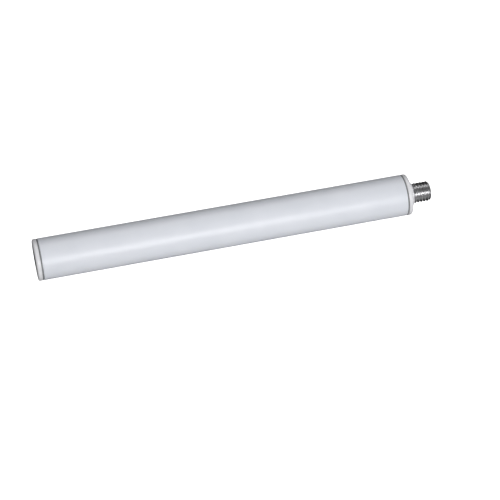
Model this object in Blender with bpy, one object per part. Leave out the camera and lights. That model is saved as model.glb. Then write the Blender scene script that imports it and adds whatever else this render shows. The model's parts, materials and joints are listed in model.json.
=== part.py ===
"""LED light tube: an opal tube with a threaded stud on one end and a matching socket in the other.

Metres, +Z up. The tube's axis is X. The origin is on the axis, in the plane of the shoulder that the
stud stands on: the stud points along +X and the tube runs along -X. The light strip faces +Z.
"""

import math

import bmesh
import bpy
from mathutils import Vector

MM = 0.001

# ---------------------------------------------------------------- driving dimensions
BODY_LENGTH = 301.5 * MM        # outer face of one cap to outer face of the other
TUBE_RADIUS = 16.5 * MM
TUBE_WALL = 2.0 * MM
FACETS = 64                     # sides of the large round parts
SMALL_FACETS = 16               # sides of the screws and their holes
BEYOND = 1.0 * MM               # how far a cutter runs past the face it leaves by
FINE_GAP = 0.2 * MM             # between parts that sit against each other
GAP = 0.3 * MM                  # between parts that only lie near each other
UNION_STEP = 0.05 * MM          # step between the end faces of two shapes that are joined into one

STUD_RADIUS = 8.0 * MM          # crest radius of the stud's thread
THREAD_PITCH = 2.5 * MM
THREAD_DEPTH = 1.3 * MM
STUD_LENGTH = 15.0 * MM         # beyond the shoulder
STUD_TIP_CHAMFER = 1.3 * MM
THREAD_FACETS = 36
THREAD_START = math.radians(2.3)    # turns the thread's edges off those of the turned parts it meets

SHOULDER_HEIGHT = 2.5 * MM      # low step of the cap round the stud
SHOULDER_RADIUS = 10.0 * MM

CAP_BAND = 3.4 * MM             # length of a cap's full-diameter band
CAP_EDGE_ROUND = 1.4 * MM
CAP_FACE_WALL = 3.2 * MM
SPIGOT_LENGTH = 13.0 * MM       # from the outer face to the end of the part inside the tube
SPIGOT_RADIUS = 14.2 * MM
SPIGOT_WALL = 1.0 * MM
SEAL_WIDTH = 0.8 * MM
SEAL_INSET = 0.1 * MM           # the seal lies this far below the tube's surface

SOCKET_OUTER_RADIUS = 9.0 * MM
SOCKET_DEPTH = 17.0 * MM
SOCKET_FLOOR = 1.5 * MM
SOCKET_RECESS = 0.2 * MM        # the insert's rim below the cap's face
EAR_REACH = 12.6 * MM
EAR_HALF_WIDTH = 2.8 * MM
EAR_THICKNESS = 2.0 * MM
EAR_SCREW_Y = 11.0 * MM

SCREW_RADIUS = 1.0 * MM
SCREW_HEAD_RADIUS = 1.7 * MM
SCREW_CLEARANCE = 0.2 * MM
SCREW_POCKET_RADIUS = 1.85 * MM     # round the flat head of a cap screw
SCREW_POCKET_LAND = 0.25 * MM
PILOT_DEPTH = 2.3 * MM          # of the holes in a cap's wall that the ear screws bite into
SCREW_TIP = 0.3 * MM            # chamfer at a screw's end
EAR_SCREW_LENGTH = 4.2 * MM
CAP_SCREW_LENGTH = 28.0 * MM
CAP_SCREW_ORBIT = 12.0 * MM     # distance of the cap screws from the tube's axis
CAP_SCREW_ANGLE = math.radians(30)

CARRIER_RADIUS = 14.0 * MM
CARRIER_LEG = 1.5 * MM
CARRIER_TOP_Z = 9.2 * MM
CARRIER_PLATE = 1.6 * MM
CARRIER_FOOT_Z = -3.0 * MM
CARRIER_SOCKET_SETBACK = 21.5 * MM
CARRIER_STUD_SETBACK = 14.5 * MM
CHANNEL_RADIUS = 1.93 * MM       # screw channels of the carrier

LED_BOARD_WIDTH = 18.0 * MM
LED_BOARD_THICKNESS = 1.0 * MM
LED_BOARD_SETBACK = 9.4 * MM    # from the face of each cap
LED_LENGTH = 3.5 * MM
LED_WIDTH = 2.8 * MM
LED_HEIGHT = 0.8 * MM
LED_PITCH = 10.0 * MM
LED_ROW_Y = 4.0 * MM
LED_COLUMNS = 27
LED_FIRST_SETBACK = 19.0 * MM   # from the face of the socket end

CELL_RADIUS = 9.2 * MM
CELL_LENGTH = 65.0 * MM
CELL_AXIS_Z = -2.0 * MM
CELL_GAP = 0.3 * MM
TRAY_SETBACK = 42.0 * MM        # from the face of the socket end
TRAY_WALL = 1.3 * MM
TRAY_END_WALL = 2.0 * MM
TRAY_TOP_Z = 3.5 * MM
TRAY_CELL_CLEARANCE = 0.3 * MM
CONTACT_SLACK = 1.1 * MM        # free length along the row of cells
CONTACT_HALF = 4.5 * MM
CONTACT_THICKNESS = 0.6 * MM
CONTACT_SPRING_LENGTH = 5.0 * MM

BOARD_THICKNESS = 1.0 * MM
DRIVER_BOARD_WIDTH = 17.0 * MM
DRIVER_BOARD_TOP_Z = -9.5 * MM
DRIVER_BOARD_SETBACK = 5.0 * MM
DRIVER_BOARD_LENGTH = 33.0 * MM
SOLDER_GAP = 0.1 * MM           # between the board and what is mounted on it
COMPONENT_SETBACK = 22.0 * MM   # start of the row of components, from the face of the socket end
CAPACITOR_OFFSET = 11.5 * MM    # axis of the capacitor, from that start
CAPACITOR_RADIUS = 2.4 * MM
CAPACITOR_HEIGHT = 5.4 * MM

PORT_WIDTH = 8.94 * MM          # USB-C shell
PORT_HEIGHT = 3.26 * MM
PORT_DEPTH = 7.3 * MM
PORT_Z = -12.25 * MM
PORT_WALL = 0.3 * MM
PORT_RECESS = 0.3 * MM
PORT_SLOT_GAP = 0.15 * MM
TONGUE_SIZE = (1.0 * MM, 6.6 * MM, 0.7 * MM)    # setback in the shell, width, thickness

BUTTON_Z = 11.9 * MM
BUTTON_RADIUS = 1.9 * MM
BUTTON_PROUD = 0.2 * MM
BUTTON_TRAVEL = 0.5 * MM
BUTTON_STEM_RADIUS = 0.8 * MM
BUTTON_STEM_END = 7.7 * MM      # from the face of the socket end
BUTTON_FLANGE = (0.8 * MM, 5.2 * MM, 2.3 * MM)
BUTTON_FLANGE_Z = 11.55 * MM    # a little nearer the axis, clear of the spigot
SWITCH_SETBACK = 9.4 * MM

STUD_FACE_X = -SHOULDER_HEIGHT              # outer face of the stud end's cap
SOCKET_FACE_X = STUD_FACE_X - BODY_LENGTH   # outer face of the socket end's cap
SEAM_START = CAP_BAND + 2 * FINE_GAP + SEAL_WIDTH
TUBE_BORE = TUBE_RADIUS - TUBE_WALL


class End:
    """One end of the tube: distances from its outer face turned into X, inwards being positive."""

    def __init__(self, face_x, outward):
        self.face_x = face_x
        self.outward = outward

    def x(self, inward):
        return self.face_x - self.outward * inward


STUD_END = End(STUD_FACE_X, 1)
SOCKET_END = End(SOCKET_FACE_X, -1)


# ---------------------------------------------------------------- materials
def material(name, color, roughness, metallic=0.0):
    made = bpy.data.materials.new(name)
    made.use_nodes = True
    shader = made.node_tree.nodes["Principled BSDF"]
    shader.inputs["Base Color"].default_value = (*color, 1.0)
    shader.inputs["Roughness"].default_value = roughness
    shader.inputs["Metallic"].default_value = metallic
    made.diffuse_color = (*color, 1.0)
    return made


def make_materials():
    return {
        "opal": material("opal_diffuser", (0.82, 0.84, 0.88), 0.32),
        "white": material("white_cap", (0.86, 0.86, 0.88), 0.35),
        "seal": material("grey_seal", (0.30, 0.31, 0.33), 0.6),
        "steel": material("steel", (0.55, 0.55, 0.56), 0.25, 1.0),
        "black_steel": material("black_steel", (0.05, 0.05, 0.055), 0.35, 1.0),
        "zinc": material("zinc_screw", (0.62, 0.62, 0.63), 0.3, 1.0),
        "aluminium": material("aluminium", (0.75, 0.76, 0.78), 0.4, 1.0),
        "led_board": material("led_board_white", (0.88, 0.88, 0.84), 0.4),
        "green_board": material("green_board", (0.02, 0.16, 0.07), 0.4),
        "black_plastic": material("black_plastic", (0.02, 0.02, 0.022), 0.5),
        "cell_wrap": material("cell_wrap", (0.05, 0.20, 0.42), 0.35),
        "nickel": material("nickel", (0.66, 0.62, 0.55), 0.25, 1.0),
        "grey_plastic": material("grey_plastic", (0.35, 0.36, 0.38), 0.5),
        "red_wire": material("red_wire", (0.55, 0.02, 0.02), 0.5),
        "black_wire": material("black_wire", (0.015, 0.015, 0.015), 0.5),
    }


# ---------------------------------------------------------------- modelling helpers
def finish_mesh(bm, name, paint, smooth_angle=35):
    """Turn a bmesh into an object with outward faces, smooth across shallow edges."""
    bmesh.ops.remove_doubles(bm, verts=bm.verts, dist=1e-7)
    bmesh.ops.recalc_face_normals(bm, faces=bm.faces)
    mesh = bpy.data.meshes.new(name)
    bm.to_mesh(mesh)
    bm.free()
    mesh.shade_smooth()
    mesh.set_sharp_from_angle(angle=math.radians(smooth_angle))
    made = bpy.data.objects.new(name, mesh)
    bpy.context.scene.collection.objects.link(made)
    if paint is not None:
        mesh.materials.append(paint)
    return made


def turned(name, profile, paint, facets=FACETS, center=(0.0, 0.0), closed=True):
    """Revolve (x, radius) points about a line along X through center, which is (y, z).

    A closed profile makes a ring. An open one starts and ends on the axis.
    """
    bm = bmesh.new()
    verts = [bm.verts.new((x, 0.0, radius)) for x, radius in profile]
    pairs = list(zip(verts, verts[1:]))
    if closed:
        pairs.append((verts[-1], verts[0]))
    edges = [bm.edges.new(pair) for pair in pairs]
    bmesh.ops.spin(bm, geom=verts + edges, cent=(0, 0, 0), axis=(1, 0, 0), dvec=(0, 0, 0),
                   angle=2 * math.pi, steps=facets, use_merge=True, use_duplicate=False)
    bmesh.ops.translate(bm, verts=bm.verts, vec=(0.0, *center))
    return finish_mesh(bm, name, paint)


def extruded(name, outline, x_start, x_end, paint):
    """Extrude a closed outline of (y, z) points along X."""
    bm = bmesh.new()
    face = bm.faces.new([bm.verts.new((x_start, y, z)) for y, z in outline])
    made = bmesh.ops.extrude_face_region(bm, geom=[face])
    moved = [item for item in made["geom"] if isinstance(item, bmesh.types.BMVert)]
    bmesh.ops.translate(bm, verts=moved, vec=(x_end - x_start, 0, 0))
    return finish_mesh(bm, name, paint)


def block(name, low, high, paint, bevel=0.0):
    """A box between two corners, with its edges rounded off where bevel is given."""
    bm = bmesh.new()
    bmesh.ops.create_cube(bm, size=1.0)
    size = Vector(high) - Vector(low)
    bmesh.ops.scale(bm, verts=bm.verts, vec=size)
    bmesh.ops.translate(bm, verts=bm.verts, vec=(Vector(high) + Vector(low)) / 2)
    if bevel:
        bmesh.ops.bevel(bm, geom=bm.edges, offset=bevel, segments=2, profile=0.5, affect="EDGES")
    return finish_mesh(bm, name, paint)


def boolean(target, tool, operation):
    """Combine target with tool, which becomes a hidden guide."""
    tool.hide_render = True
    tool.display_type = "WIRE"
    step = target.modifiers.new(operation.lower(), "BOOLEAN")
    step.operation = operation
    step.solver = "EXACT"
    step.object = tool
    return target


def arc(center, radius, start, end, steps):
    """Points on an arc in the plane of the two given coordinates, angles in degrees."""
    angles = [math.radians(start + (end - start) * i / steps) for i in range(steps + 1)]
    return [(center[0] + radius * math.cos(a), center[1] + radius * math.sin(a)) for a in angles]


def rod(name, x_start, x_end, radius, center=(0.0, 0.0), paint=None, facets=24):
    """A plain round rod along X."""
    profile = [(x_start, 0.0), (x_start, radius), (x_end, radius), (x_end, 0.0)]
    return turned(name, profile, paint, facets, center, closed=False)


def wire_curve(name, points, radius, paint, resolution=1):
    """A round wire through the points, with closed ends."""
    curve = bpy.data.curves.new(name, "CURVE")
    curve.dimensions = "3D"
    curve.bevel_depth = radius
    curve.bevel_resolution = resolution
    curve.use_fill_caps = True
    spline = curve.splines.new("POLY")
    spline.points.add(len(points) - 1)
    for place, point in zip(spline.points, points):
        place.co = (*point, 1.0)
    curve.materials.append(paint)
    made = bpy.data.objects.new(name, curve)
    bpy.context.scene.collection.objects.link(made)
    return made


def smooth_path(knots, steps=6):
    """Points on a Catmull-Rom curve through the knots."""
    knots = [Vector(k) for k in knots]
    padded = [2 * knots[0] - knots[1], *knots, 2 * knots[-1] - knots[-2]]
    points = []
    for i in range(1, len(padded) - 2):
        a, b, c, d = padded[i - 1:i + 3]
        for step in range(steps):
            t = step / steps
            points.append(0.5 * (2 * b + (c - a) * t + (2 * a - 5 * b + 4 * c - d) * t ** 2
                                 + (3 * b - a - 3 * c + d) * t ** 3))
    points.append(knots[-1])
    return points


# ---------------------------------------------------------------- threads
def thread_core(name, x_start, x_end, crest_radius, depth, paint=None):
    """A right-handed threaded rod with plain, slanting ends, longer than it needs to be.

    Each column of the mesh follows the thread's flat root, flank, flat crest and flank, moved on by
    the helix angle from one column to the next, so that after a full turn it meets the next thread.
    """
    marks = ((0.0, -1.0), (0.16, -1.0), (0.44, 0.0), (0.72, 0.0))   # place in the pitch, depth
    turns = math.ceil((x_end - x_start) / THREAD_PITCH) + 2
    rows = [(x_start + (turn - 1 + place) * THREAD_PITCH, crest_radius + down * depth)
            for turn in range(turns) for place, down in marks]
    bm = bmesh.new()
    columns = []
    for i in range(THREAD_FACETS):
        share = i / THREAD_FACETS
        angle = THREAD_START + 2 * math.pi * share
        columns.append([bm.verts.new((x + share * THREAD_PITCH, -radius * math.sin(angle),
                                      radius * math.cos(angle))) for x, radius in rows])
    shift = len(marks)
    for i, column in enumerate(columns):
        if i + 1 < THREAD_FACETS:
            following = columns[i + 1]
            ahead = 0
        else:
            following = columns[0]
            ahead = shift
        for k in range(len(rows) - 1 - shift):
            corners = [column[k], column[k + 1], following[k + 1 + ahead], following[k + ahead]]
            bm.faces.new(corners)
    loose = [v for v in bm.verts if not v.link_faces]
    bmesh.ops.delete(bm, geom=loose, context="VERTS")
    rims = [e for e in bm.edges if e.is_boundary]
    middle = (rows[0][0] + rows[-1][0]) / 2
    for side in (-1, 1):
        rim = [e for e in rims if side * (e.verts[0].co.x - middle) > 0]
        hub_x = sum(v.co.x for e in rim for v in e.verts) / (2 * len(rim))
        hub = bm.verts.new((hub_x, 0, 0))
        for edge in rim:
            bm.faces.new((*edge.verts, hub))
    return finish_mesh(bm, name, paint)


# ---------------------------------------------------------------- outer parts
def make_tube(paints):
    x_start = SOCKET_END.x(SEAM_START)
    x_end = STUD_END.x(SEAM_START)
    profile = [(x_start, TUBE_BORE), (x_start, TUBE_RADIUS), (x_end, TUBE_RADIUS), (x_end, TUBE_BORE)]
    return turned("diffuser_tube", profile, paints["opal"])


def make_seal(name, end, paints):
    near = end.x(CAP_BAND + FINE_GAP)
    far = end.x(CAP_BAND + FINE_GAP + SEAL_WIDTH)
    inner = SPIGOT_RADIUS + FINE_GAP
    outer = TUBE_RADIUS - SEAL_INSET
    profile = [(near, inner), (near, outer), (far, outer), (far, inner)]
    return turned(name, profile, paints["seal"])


def cap_profile(end, bore, shoulder):
    """Closed profile of a cap: face, rounded edge, band, spigot and the inside of the face wall."""
    edge = arc((CAP_EDGE_ROUND, TUBE_RADIUS - CAP_EDGE_ROUND), CAP_EDGE_ROUND, 180, 90, 3)
    profile = []
    if shoulder:
        lead = 0.4 * MM
        profile += [(-shoulder, bore), (-shoulder, SHOULDER_RADIUS - lead)]
        profile += [(-shoulder + lead, SHOULDER_RADIUS), (0.0, SHOULDER_RADIUS)]
    else:
        profile += [(0.0, bore)]
    profile += edge
    profile += [(CAP_BAND, TUBE_RADIUS), (CAP_BAND, SPIGOT_RADIUS), (SPIGOT_LENGTH, SPIGOT_RADIUS)]
    profile += [(SPIGOT_LENGTH, SPIGOT_RADIUS - SPIGOT_WALL), (CAP_FACE_WALL, SPIGOT_RADIUS - SPIGOT_WALL)]
    profile += [(CAP_FACE_WALL, bore)]
    return [(end.x(inward), radius) for inward, radius in profile]


def cap_screw_places():
    y = CAP_SCREW_ORBIT * math.cos(CAP_SCREW_ANGLE)
    z = CAP_SCREW_ORBIT * math.sin(CAP_SCREW_ANGLE)
    return {"left": (-y, z), "right": (y, z)}


def ear_screw_places():
    return {"left": (-EAR_SCREW_Y, 0.0), "right": (EAR_SCREW_Y, 0.0)}


def cut_cap_openings(cap, end):
    """Countersunk holes to the carrier, pilot holes for the ears, and the notch for the LED board."""
    hole = SCREW_RADIUS + SCREW_CLEARANCE
    back_x = end.x(CAP_FACE_WALL + BEYOND)
    for side, place in cap_screw_places().items():
        sink = SCREW_POCKET_LAND + SCREW_HEAD_RADIUS - SCREW_RADIUS + 0.1 * MM
        profile = [(end.x(-BEYOND), 0.0), (end.x(-BEYOND), SCREW_POCKET_RADIUS),
                   (end.x(SCREW_POCKET_LAND), SCREW_POCKET_RADIUS), (end.x(sink), hole),
                   (back_x, hole), (back_x, 0.0)]
        tool = turned(f"{cap.name}_hole_{side}", profile, None, SMALL_FACETS, place, closed=False)
        boolean(cap, tool, "DIFFERENCE")
    for side, place in ear_screw_places().items():
        tool = rod(f"{cap.name}_pilot_{side}", end.x(CAP_FACE_WALL - PILOT_DEPTH), back_x, hole, place,
                   facets=SMALL_FACETS)
        boolean(cap, tool, "DIFFERENCE")
    # the notch begins behind the band, so that the seat of the seal stays whole
    half = LED_BOARD_WIDTH / 2 + 2 * FINE_GAP
    xs = sorted((end.x(SEAM_START), end.x(SPIGOT_LENGTH + BEYOND)))
    tool = block(f"{cap.name}_board_notch", (xs[0], -half, CARRIER_TOP_Z), (xs[1], half, TUBE_RADIUS), None)
    boolean(cap, tool, "DIFFERENCE")


def stadium(width, height, center_z, steps=8):
    """Outline (y, z) of a slot with round ends, lying along Y."""
    reach = (width - height) / 2
    right = arc((reach, center_z), height / 2, -90, 90, steps)
    left = arc((-reach, center_z), height / 2, 90, 270, steps)
    return right + left


def make_socket_cap(paints):
    end = SOCKET_END
    cap = turned("socket_end_cap", cap_profile(end, SOCKET_OUTER_RADIUS + FINE_GAP, 0.0), paints["white"])
    cut_cap_openings(cap, end)
    outline = stadium(PORT_WIDTH + 2 * PORT_SLOT_GAP, PORT_HEIGHT + 2 * PORT_SLOT_GAP, PORT_Z)
    tool = extruded("port_slot", outline, end.x(-BEYOND), end.x(PORT_DEPTH + BEYOND), None)
    boolean(cap, tool, "DIFFERENCE")
    tool = rod("button_hole", end.x(-BEYOND), end.x(CAP_FACE_WALL + BEYOND), BUTTON_RADIUS + FINE_GAP,
               (0.0, BUTTON_Z), facets=32)
    boolean(cap, tool, "DIFFERENCE")
    half = DRIVER_BOARD_WIDTH / 2 + GAP
    tool = block("driver_notch", (end.x(SEAM_START), -half, -TUBE_RADIUS),
                 (end.x(SPIGOT_LENGTH + BEYOND), half, DRIVER_BOARD_TOP_Z + GAP), None)
    boolean(cap, tool, "DIFFERENCE")
    return cap


def make_stud_cap(paints):
    cap = turned("stud_end_cap", cap_profile(STUD_END, STUD_RADIUS + GAP, SHOULDER_HEIGHT), paints["white"])
    cut_cap_openings(cap, STUD_END)
    return cap


# ---------------------------------------------------------------- stud and socket
def make_ears(name, end):
    """The bar whose two ends are screwed to the inside of a cap."""
    xs = sorted((end.x(CAP_FACE_WALL + FINE_GAP), end.x(CAP_FACE_WALL + FINE_GAP + EAR_THICKNESS)))
    ears = block(name, (xs[0], -EAR_REACH, -EAR_HALF_WIDTH), (xs[1], EAR_REACH, EAR_HALF_WIDTH), None)
    for side, place in ear_screw_places().items():
        tool = rod(f"{name}_hole_{side}", xs[0] - BEYOND, xs[1] + BEYOND, SCREW_RADIUS + SCREW_CLEARANCE,
                   place, facets=SMALL_FACETS)
        boolean(ears, tool, "DIFFERENCE")
    return ears


def make_stud(paints):
    """Threaded beyond the shoulder, plain through the cap, with a flange and ears behind it."""
    neck = 0.6 * MM
    tip = STUD_RADIUS - STUD_TIP_CHAMFER
    neck_radius = STUD_RADIUS - THREAD_DEPTH - 0.05 * MM
    envelope = [(neck, 0.0), (neck, neck_radius), (neck + THREAD_DEPTH, STUD_RADIUS + BEYOND),
                (STUD_LENGTH - STUD_TIP_CHAMFER - BEYOND, STUD_RADIUS + BEYOND), (STUD_LENGTH, tip),
                (STUD_LENGTH, 0.0)]
    stud = thread_core("threaded_stud", 0.0, STUD_LENGTH, STUD_RADIUS, THREAD_DEPTH, paints["steel"])
    boolean(stud, turned("stud_envelope", envelope, None, THREAD_FACETS, closed=False), "INTERSECT")
    back = STUD_END.x(CAP_FACE_WALL + FINE_GAP + EAR_THICKNESS + UNION_STEP)
    front = STUD_END.x(CAP_FACE_WALL + FINE_GAP + UNION_STEP)
    shank_radius = STUD_RADIUS - 0.05 * MM
    core_radius = neck_radius - 0.18 * MM
    shank = [(back, 0.0), (back, SOCKET_OUTER_RADIUS), (front, SOCKET_OUTER_RADIUS), (front, shank_radius),
             (0.2 * MM, shank_radius), (0.2 * MM + THREAD_DEPTH / 2, core_radius), (2 * MM, core_radius),
             (2 * MM, 0.0)]
    boolean(stud, turned("stud_shank", shank, None, THREAD_FACETS, closed=False), "UNION")
    boolean(stud, make_ears("stud_ears", STUD_END), "UNION")
    return stud


def make_socket(paints):
    """A blind insert with the female thread, ears behind the cap's wall and a lead-in at its mouth."""
    end = SOCKET_END
    bottom = SOCKET_RECESS + SOCKET_DEPTH + SOCKET_FLOOR
    socket = rod("threaded_socket", end.x(SOCKET_RECESS), end.x(bottom), SOCKET_OUTER_RADIUS,
                 paint=paints["black_steel"], facets=48)
    boolean(socket, make_ears("socket_ears", end), "UNION")
    crest = STUD_RADIUS + 0.15 * MM
    depth_x = end.x(SOCKET_RECESS + SOCKET_DEPTH)
    tool = thread_core("socket_thread", end.x(0.0), depth_x, crest, THREAD_DEPTH)
    limit = rod("socket_thread_limit", end.x(-2 * THREAD_PITCH), depth_x, crest + BEYOND,
                facets=THREAD_FACETS)
    boolean(tool, limit, "INTERSECT")
    boolean(socket, tool, "DIFFERENCE")
    mouth = 0.5 * MM
    lead_in = [(end.x(-BEYOND), 0.0), (end.x(-BEYOND), crest + mouth), (end.x(SOCKET_RECESS), crest + mouth),
               (end.x(SOCKET_RECESS + mouth + THREAD_DEPTH), crest - THREAD_DEPTH),
               (end.x(SOCKET_RECESS + mouth + THREAD_DEPTH), 0.0)]
    boolean(socket, turned("socket_lead_in", lead_in, None, THREAD_FACETS, closed=False), "DIFFERENCE")
    return socket


# ---------------------------------------------------------------- screws
def hex_recess(name, x_start, x_end, across, place):
    """Cutter for a hexagon socket, along X."""
    points = [(place[0] + y, place[1] + z) for y, z in arc((0.0, 0.0), across / math.sqrt(3), 0, 300, 5)]
    return extruded(name, points, x_start, x_end, None)


def make_ear_screw(name, end, place, paints):
    """Pan-head screw driven outwards, from behind the ears into the cap's wall."""
    seat = CAP_FACE_WALL + FINE_GAP + EAR_THICKNESS + 0.1 * MM
    head = 1.3 * MM
    tip = seat - EAR_SCREW_LENGTH
    profile = [(seat + head, 0.0), (seat + head, SCREW_HEAD_RADIUS - 0.35 * MM),
               (seat + head - 0.35 * MM, SCREW_HEAD_RADIUS), (seat, SCREW_HEAD_RADIUS),
               (seat, SCREW_RADIUS), (tip + SCREW_TIP, SCREW_RADIUS), (tip, SCREW_RADIUS - SCREW_TIP),
               (tip, 0.0)]
    profile = [(end.x(inward), radius) for inward, radius in profile]
    screw = turned(name, profile, paints["zinc"], SMALL_FACETS, place, closed=False)
    tool = hex_recess(f"{name}_recess", end.x(seat + head - 0.8 * MM), end.x(seat + head + BEYOND), 1.5 * MM,
                      place)
    return boolean(screw, tool, "DIFFERENCE")


def make_cap_screw(name, end, place, paints):
    """Long countersunk screw through a cap's face into a channel of the carrier."""
    top = 0.1 * MM
    cone = SCREW_HEAD_RADIUS - SCREW_RADIUS
    tip = CAP_SCREW_LENGTH
    profile = [(top, 0.0), (top, SCREW_HEAD_RADIUS), (top + 0.15 * MM, SCREW_HEAD_RADIUS),
               (top + 0.15 * MM + cone, SCREW_RADIUS), (tip - SCREW_TIP, SCREW_RADIUS),
               (tip, SCREW_RADIUS - SCREW_TIP), (tip, 0.0)]
    profile = [(end.x(inward), radius) for inward, radius in profile]
    screw = turned(name, profile, paints["zinc"], SMALL_FACETS, place, closed=False)
    tool = hex_recess(f"{name}_recess", end.x(-BEYOND), end.x(top + 0.7 * MM), 1.3 * MM, place)
    return boolean(screw, tool, "DIFFERENCE")


def make_screws(paints):
    for label, end in (("socket", SOCKET_END), ("stud", STUD_END)):
        for side, place in ear_screw_places().items():
            make_ear_screw(f"{label}_screw_{side}", end, place, paints)
        for side, place in cap_screw_places().items():
            make_cap_screw(f"{label}_cap_screw_{side}", end, place, paints)


# ---------------------------------------------------------------- light strip
def make_carrier(paints):
    """Aluminium profile: a top plate with two curved legs, and a screw channel in each corner."""
    x_start = SOCKET_END.x(CARRIER_SOCKET_SETBACK)
    x_end = STUD_END.x(CARRIER_STUD_SETBACK)
    inner = CARRIER_RADIUS - CARRIER_LEG
    plate_z = CARRIER_TOP_Z - CARRIER_PLATE
    top = math.degrees(math.asin(CARRIER_TOP_Z / CARRIER_RADIUS))
    foot = math.degrees(math.asin(CARRIER_FOOT_Z / CARRIER_RADIUS))
    inner_top = math.degrees(math.asin(plate_z / inner))
    inner_foot = math.degrees(math.asin(CARRIER_FOOT_Z / inner))
    right = arc((0, 0), CARRIER_RADIUS, top, foot, 10) + arc((0, 0), inner, inner_foot, inner_top, 8)
    left = [(-y, z) for y, z in reversed(right)]
    carrier = extruded("led_carrier", right + left, x_start, x_end, paints["aluminium"])
    for side, place in cap_screw_places().items():
        tool = rod(f"channel_{side}", x_start + UNION_STEP, x_end - UNION_STEP, CHANNEL_RADIUS, place,
                   facets=SMALL_FACETS)
        boolean(carrier, tool, "UNION")
    for side, place in cap_screw_places().items():
        tool = rod(f"channel_hole_{side}", x_start - BEYOND, x_end + BEYOND, SCREW_RADIUS + SCREW_CLEARANCE,
                   place, facets=SMALL_FACETS)
        boolean(carrier, tool, "DIFFERENCE")
    return carrier


def make_led_board(paints):
    """The board and its two rows of LEDs, raised out of one grid."""
    x_start = SOCKET_END.x(LED_BOARD_SETBACK)
    x_end = STUD_END.x(LED_BOARD_SETBACK)
    first = SOCKET_END.x(LED_FIRST_SETBACK)
    bottom = CARRIER_TOP_Z + GAP
    top = bottom + LED_BOARD_THICKNESS
    xs = [x_start]
    for column in range(LED_COLUMNS):
        middle = first + column * LED_PITCH
        xs += [middle - LED_LENGTH / 2, middle + LED_LENGTH / 2]
    xs.append(x_end)
    half = LED_BOARD_WIDTH / 2
    ys = [-half]
    for row_y in (-LED_ROW_Y, LED_ROW_Y):
        ys += [row_y - LED_WIDTH / 2, row_y + LED_WIDTH / 2]
    ys.append(half)
    bm = bmesh.new()
    grid = [[bm.verts.new((x, y, top)) for y in ys] for x in xs]
    leds = []
    for i in range(len(xs) - 1):
        for j in range(len(ys) - 1):
            face = bm.faces.new((grid[i][j], grid[i + 1][j], grid[i + 1][j + 1], grid[i][j + 1]))
            if i % 2 == 1 and j % 2 == 1:
                leds.append(face)
    rim = [e for e in bm.edges if e.is_boundary]
    skirt = bmesh.ops.extrude_edge_only(bm, edges=rim)["geom"]
    lower = [item for item in skirt if isinstance(item, bmesh.types.BMVert)]
    bmesh.ops.translate(bm, verts=lower, vec=(0, 0, bottom - top))
    bmesh.ops.contextual_create(bm, geom=[e for e in bm.edges if e.is_boundary])
    for face in bmesh.ops.extrude_discrete_faces(bm, faces=leds)["faces"]:
        bmesh.ops.translate(bm, verts=face.verts, vec=(0, 0, LED_HEIGHT))
    return finish_mesh(bm, "led_board", paints["led_board"])


# ---------------------------------------------------------------- battery
def trough_outline(radius, top_z):
    """Outline (y, z) of a half round with straight sides up to top_z."""
    return arc((0.0, CELL_AXIS_Z), radius, 180, 360, 20) + [(radius, top_z), (-radius, top_z)]


def tray_span():
    """X of the tray's two inner end faces."""
    cells = 2 * CELL_LENGTH + CELL_GAP
    contacts = 2 * CONTACT_THICKNESS + CONTACT_SPRING_LENGTH
    inner = cells + contacts + 2 * FINE_GAP + CONTACT_SLACK
    start = SOCKET_END.x(TRAY_SETBACK + TRAY_END_WALL)
    return start, start + inner


def make_tray(paints):
    x_start, x_end = tray_span()
    inner = CELL_RADIUS + TRAY_CELL_CLEARANCE
    outer = inner + TRAY_WALL
    tray = extruded("battery_tray", trough_outline(outer, TRAY_TOP_Z), x_start - TRAY_END_WALL,
                    x_end + TRAY_END_WALL, paints["grey_plastic"])
    tool = extruded("tray_hollow", trough_outline(inner, TRAY_TOP_Z + BEYOND), x_start, x_end, None)
    return boolean(tray, tool, "DIFFERENCE")


def make_cell(name, x_start, paints):
    """One cell, its flat end at x_start and its raised positive end towards +X."""
    button = 1.5 * MM
    edge = 0.7 * MM
    x_end = x_start + CELL_LENGTH
    shoulder = x_end - button
    profile = [(x_start, 0.0), (x_start, CELL_RADIUS - edge), (x_start + edge, CELL_RADIUS),
               (shoulder - edge, CELL_RADIUS), (shoulder, CELL_RADIUS - edge), (shoulder, 3.2 * MM),
               (x_end - 0.3 * MM, 3.0 * MM), (x_end, 2.7 * MM), (x_end, 0.0)]
    return turned(name, profile, paints["cell_wrap"], 28, (0.0, CELL_AXIS_Z), closed=False)


def make_battery(paints):
    x_start, x_end = tray_span()
    coil_start = x_start + FINE_GAP
    coil_end = coil_start + CONTACT_THICKNESS + CONTACT_SPRING_LENGTH
    first_cell = coil_end + 0.5 * MM
    make_cell("battery_cell_a", first_cell, paints)
    make_cell("battery_cell_b", first_cell + CELL_LENGTH + CELL_GAP, paints)
    make_contact_spring(coil_start, coil_end, paints)
    contact_x = x_end - FINE_GAP - CONTACT_THICKNESS
    low = (contact_x, -CONTACT_HALF, CELL_AXIS_Z - CONTACT_HALF)
    high = (contact_x + CONTACT_THICKNESS, CONTACT_HALF, CELL_AXIS_Z + CONTACT_HALF)
    block("battery_contact_positive", low, high, paints["nickel"], 0.1 * MM)


def make_contact_spring(x_start, x_end, paints):
    """Conical spring that presses on the row of cells."""
    wire = 0.4 * MM
    turns = 3
    steps = 14
    points = []
    for i in range(turns * steps + 1):
        share = i / (turns * steps)
        radius = (5.0 - 2.2 * share) * MM
        angle = 2 * math.pi * turns * share
        x = x_start + wire + share * (x_end - x_start - 2 * wire)
        points.append((x, radius * math.cos(angle), CELL_AXIS_Z + radius * math.sin(angle)))
    return wire_curve("battery_contact_negative", points, wire, paints["nickel"])


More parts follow.
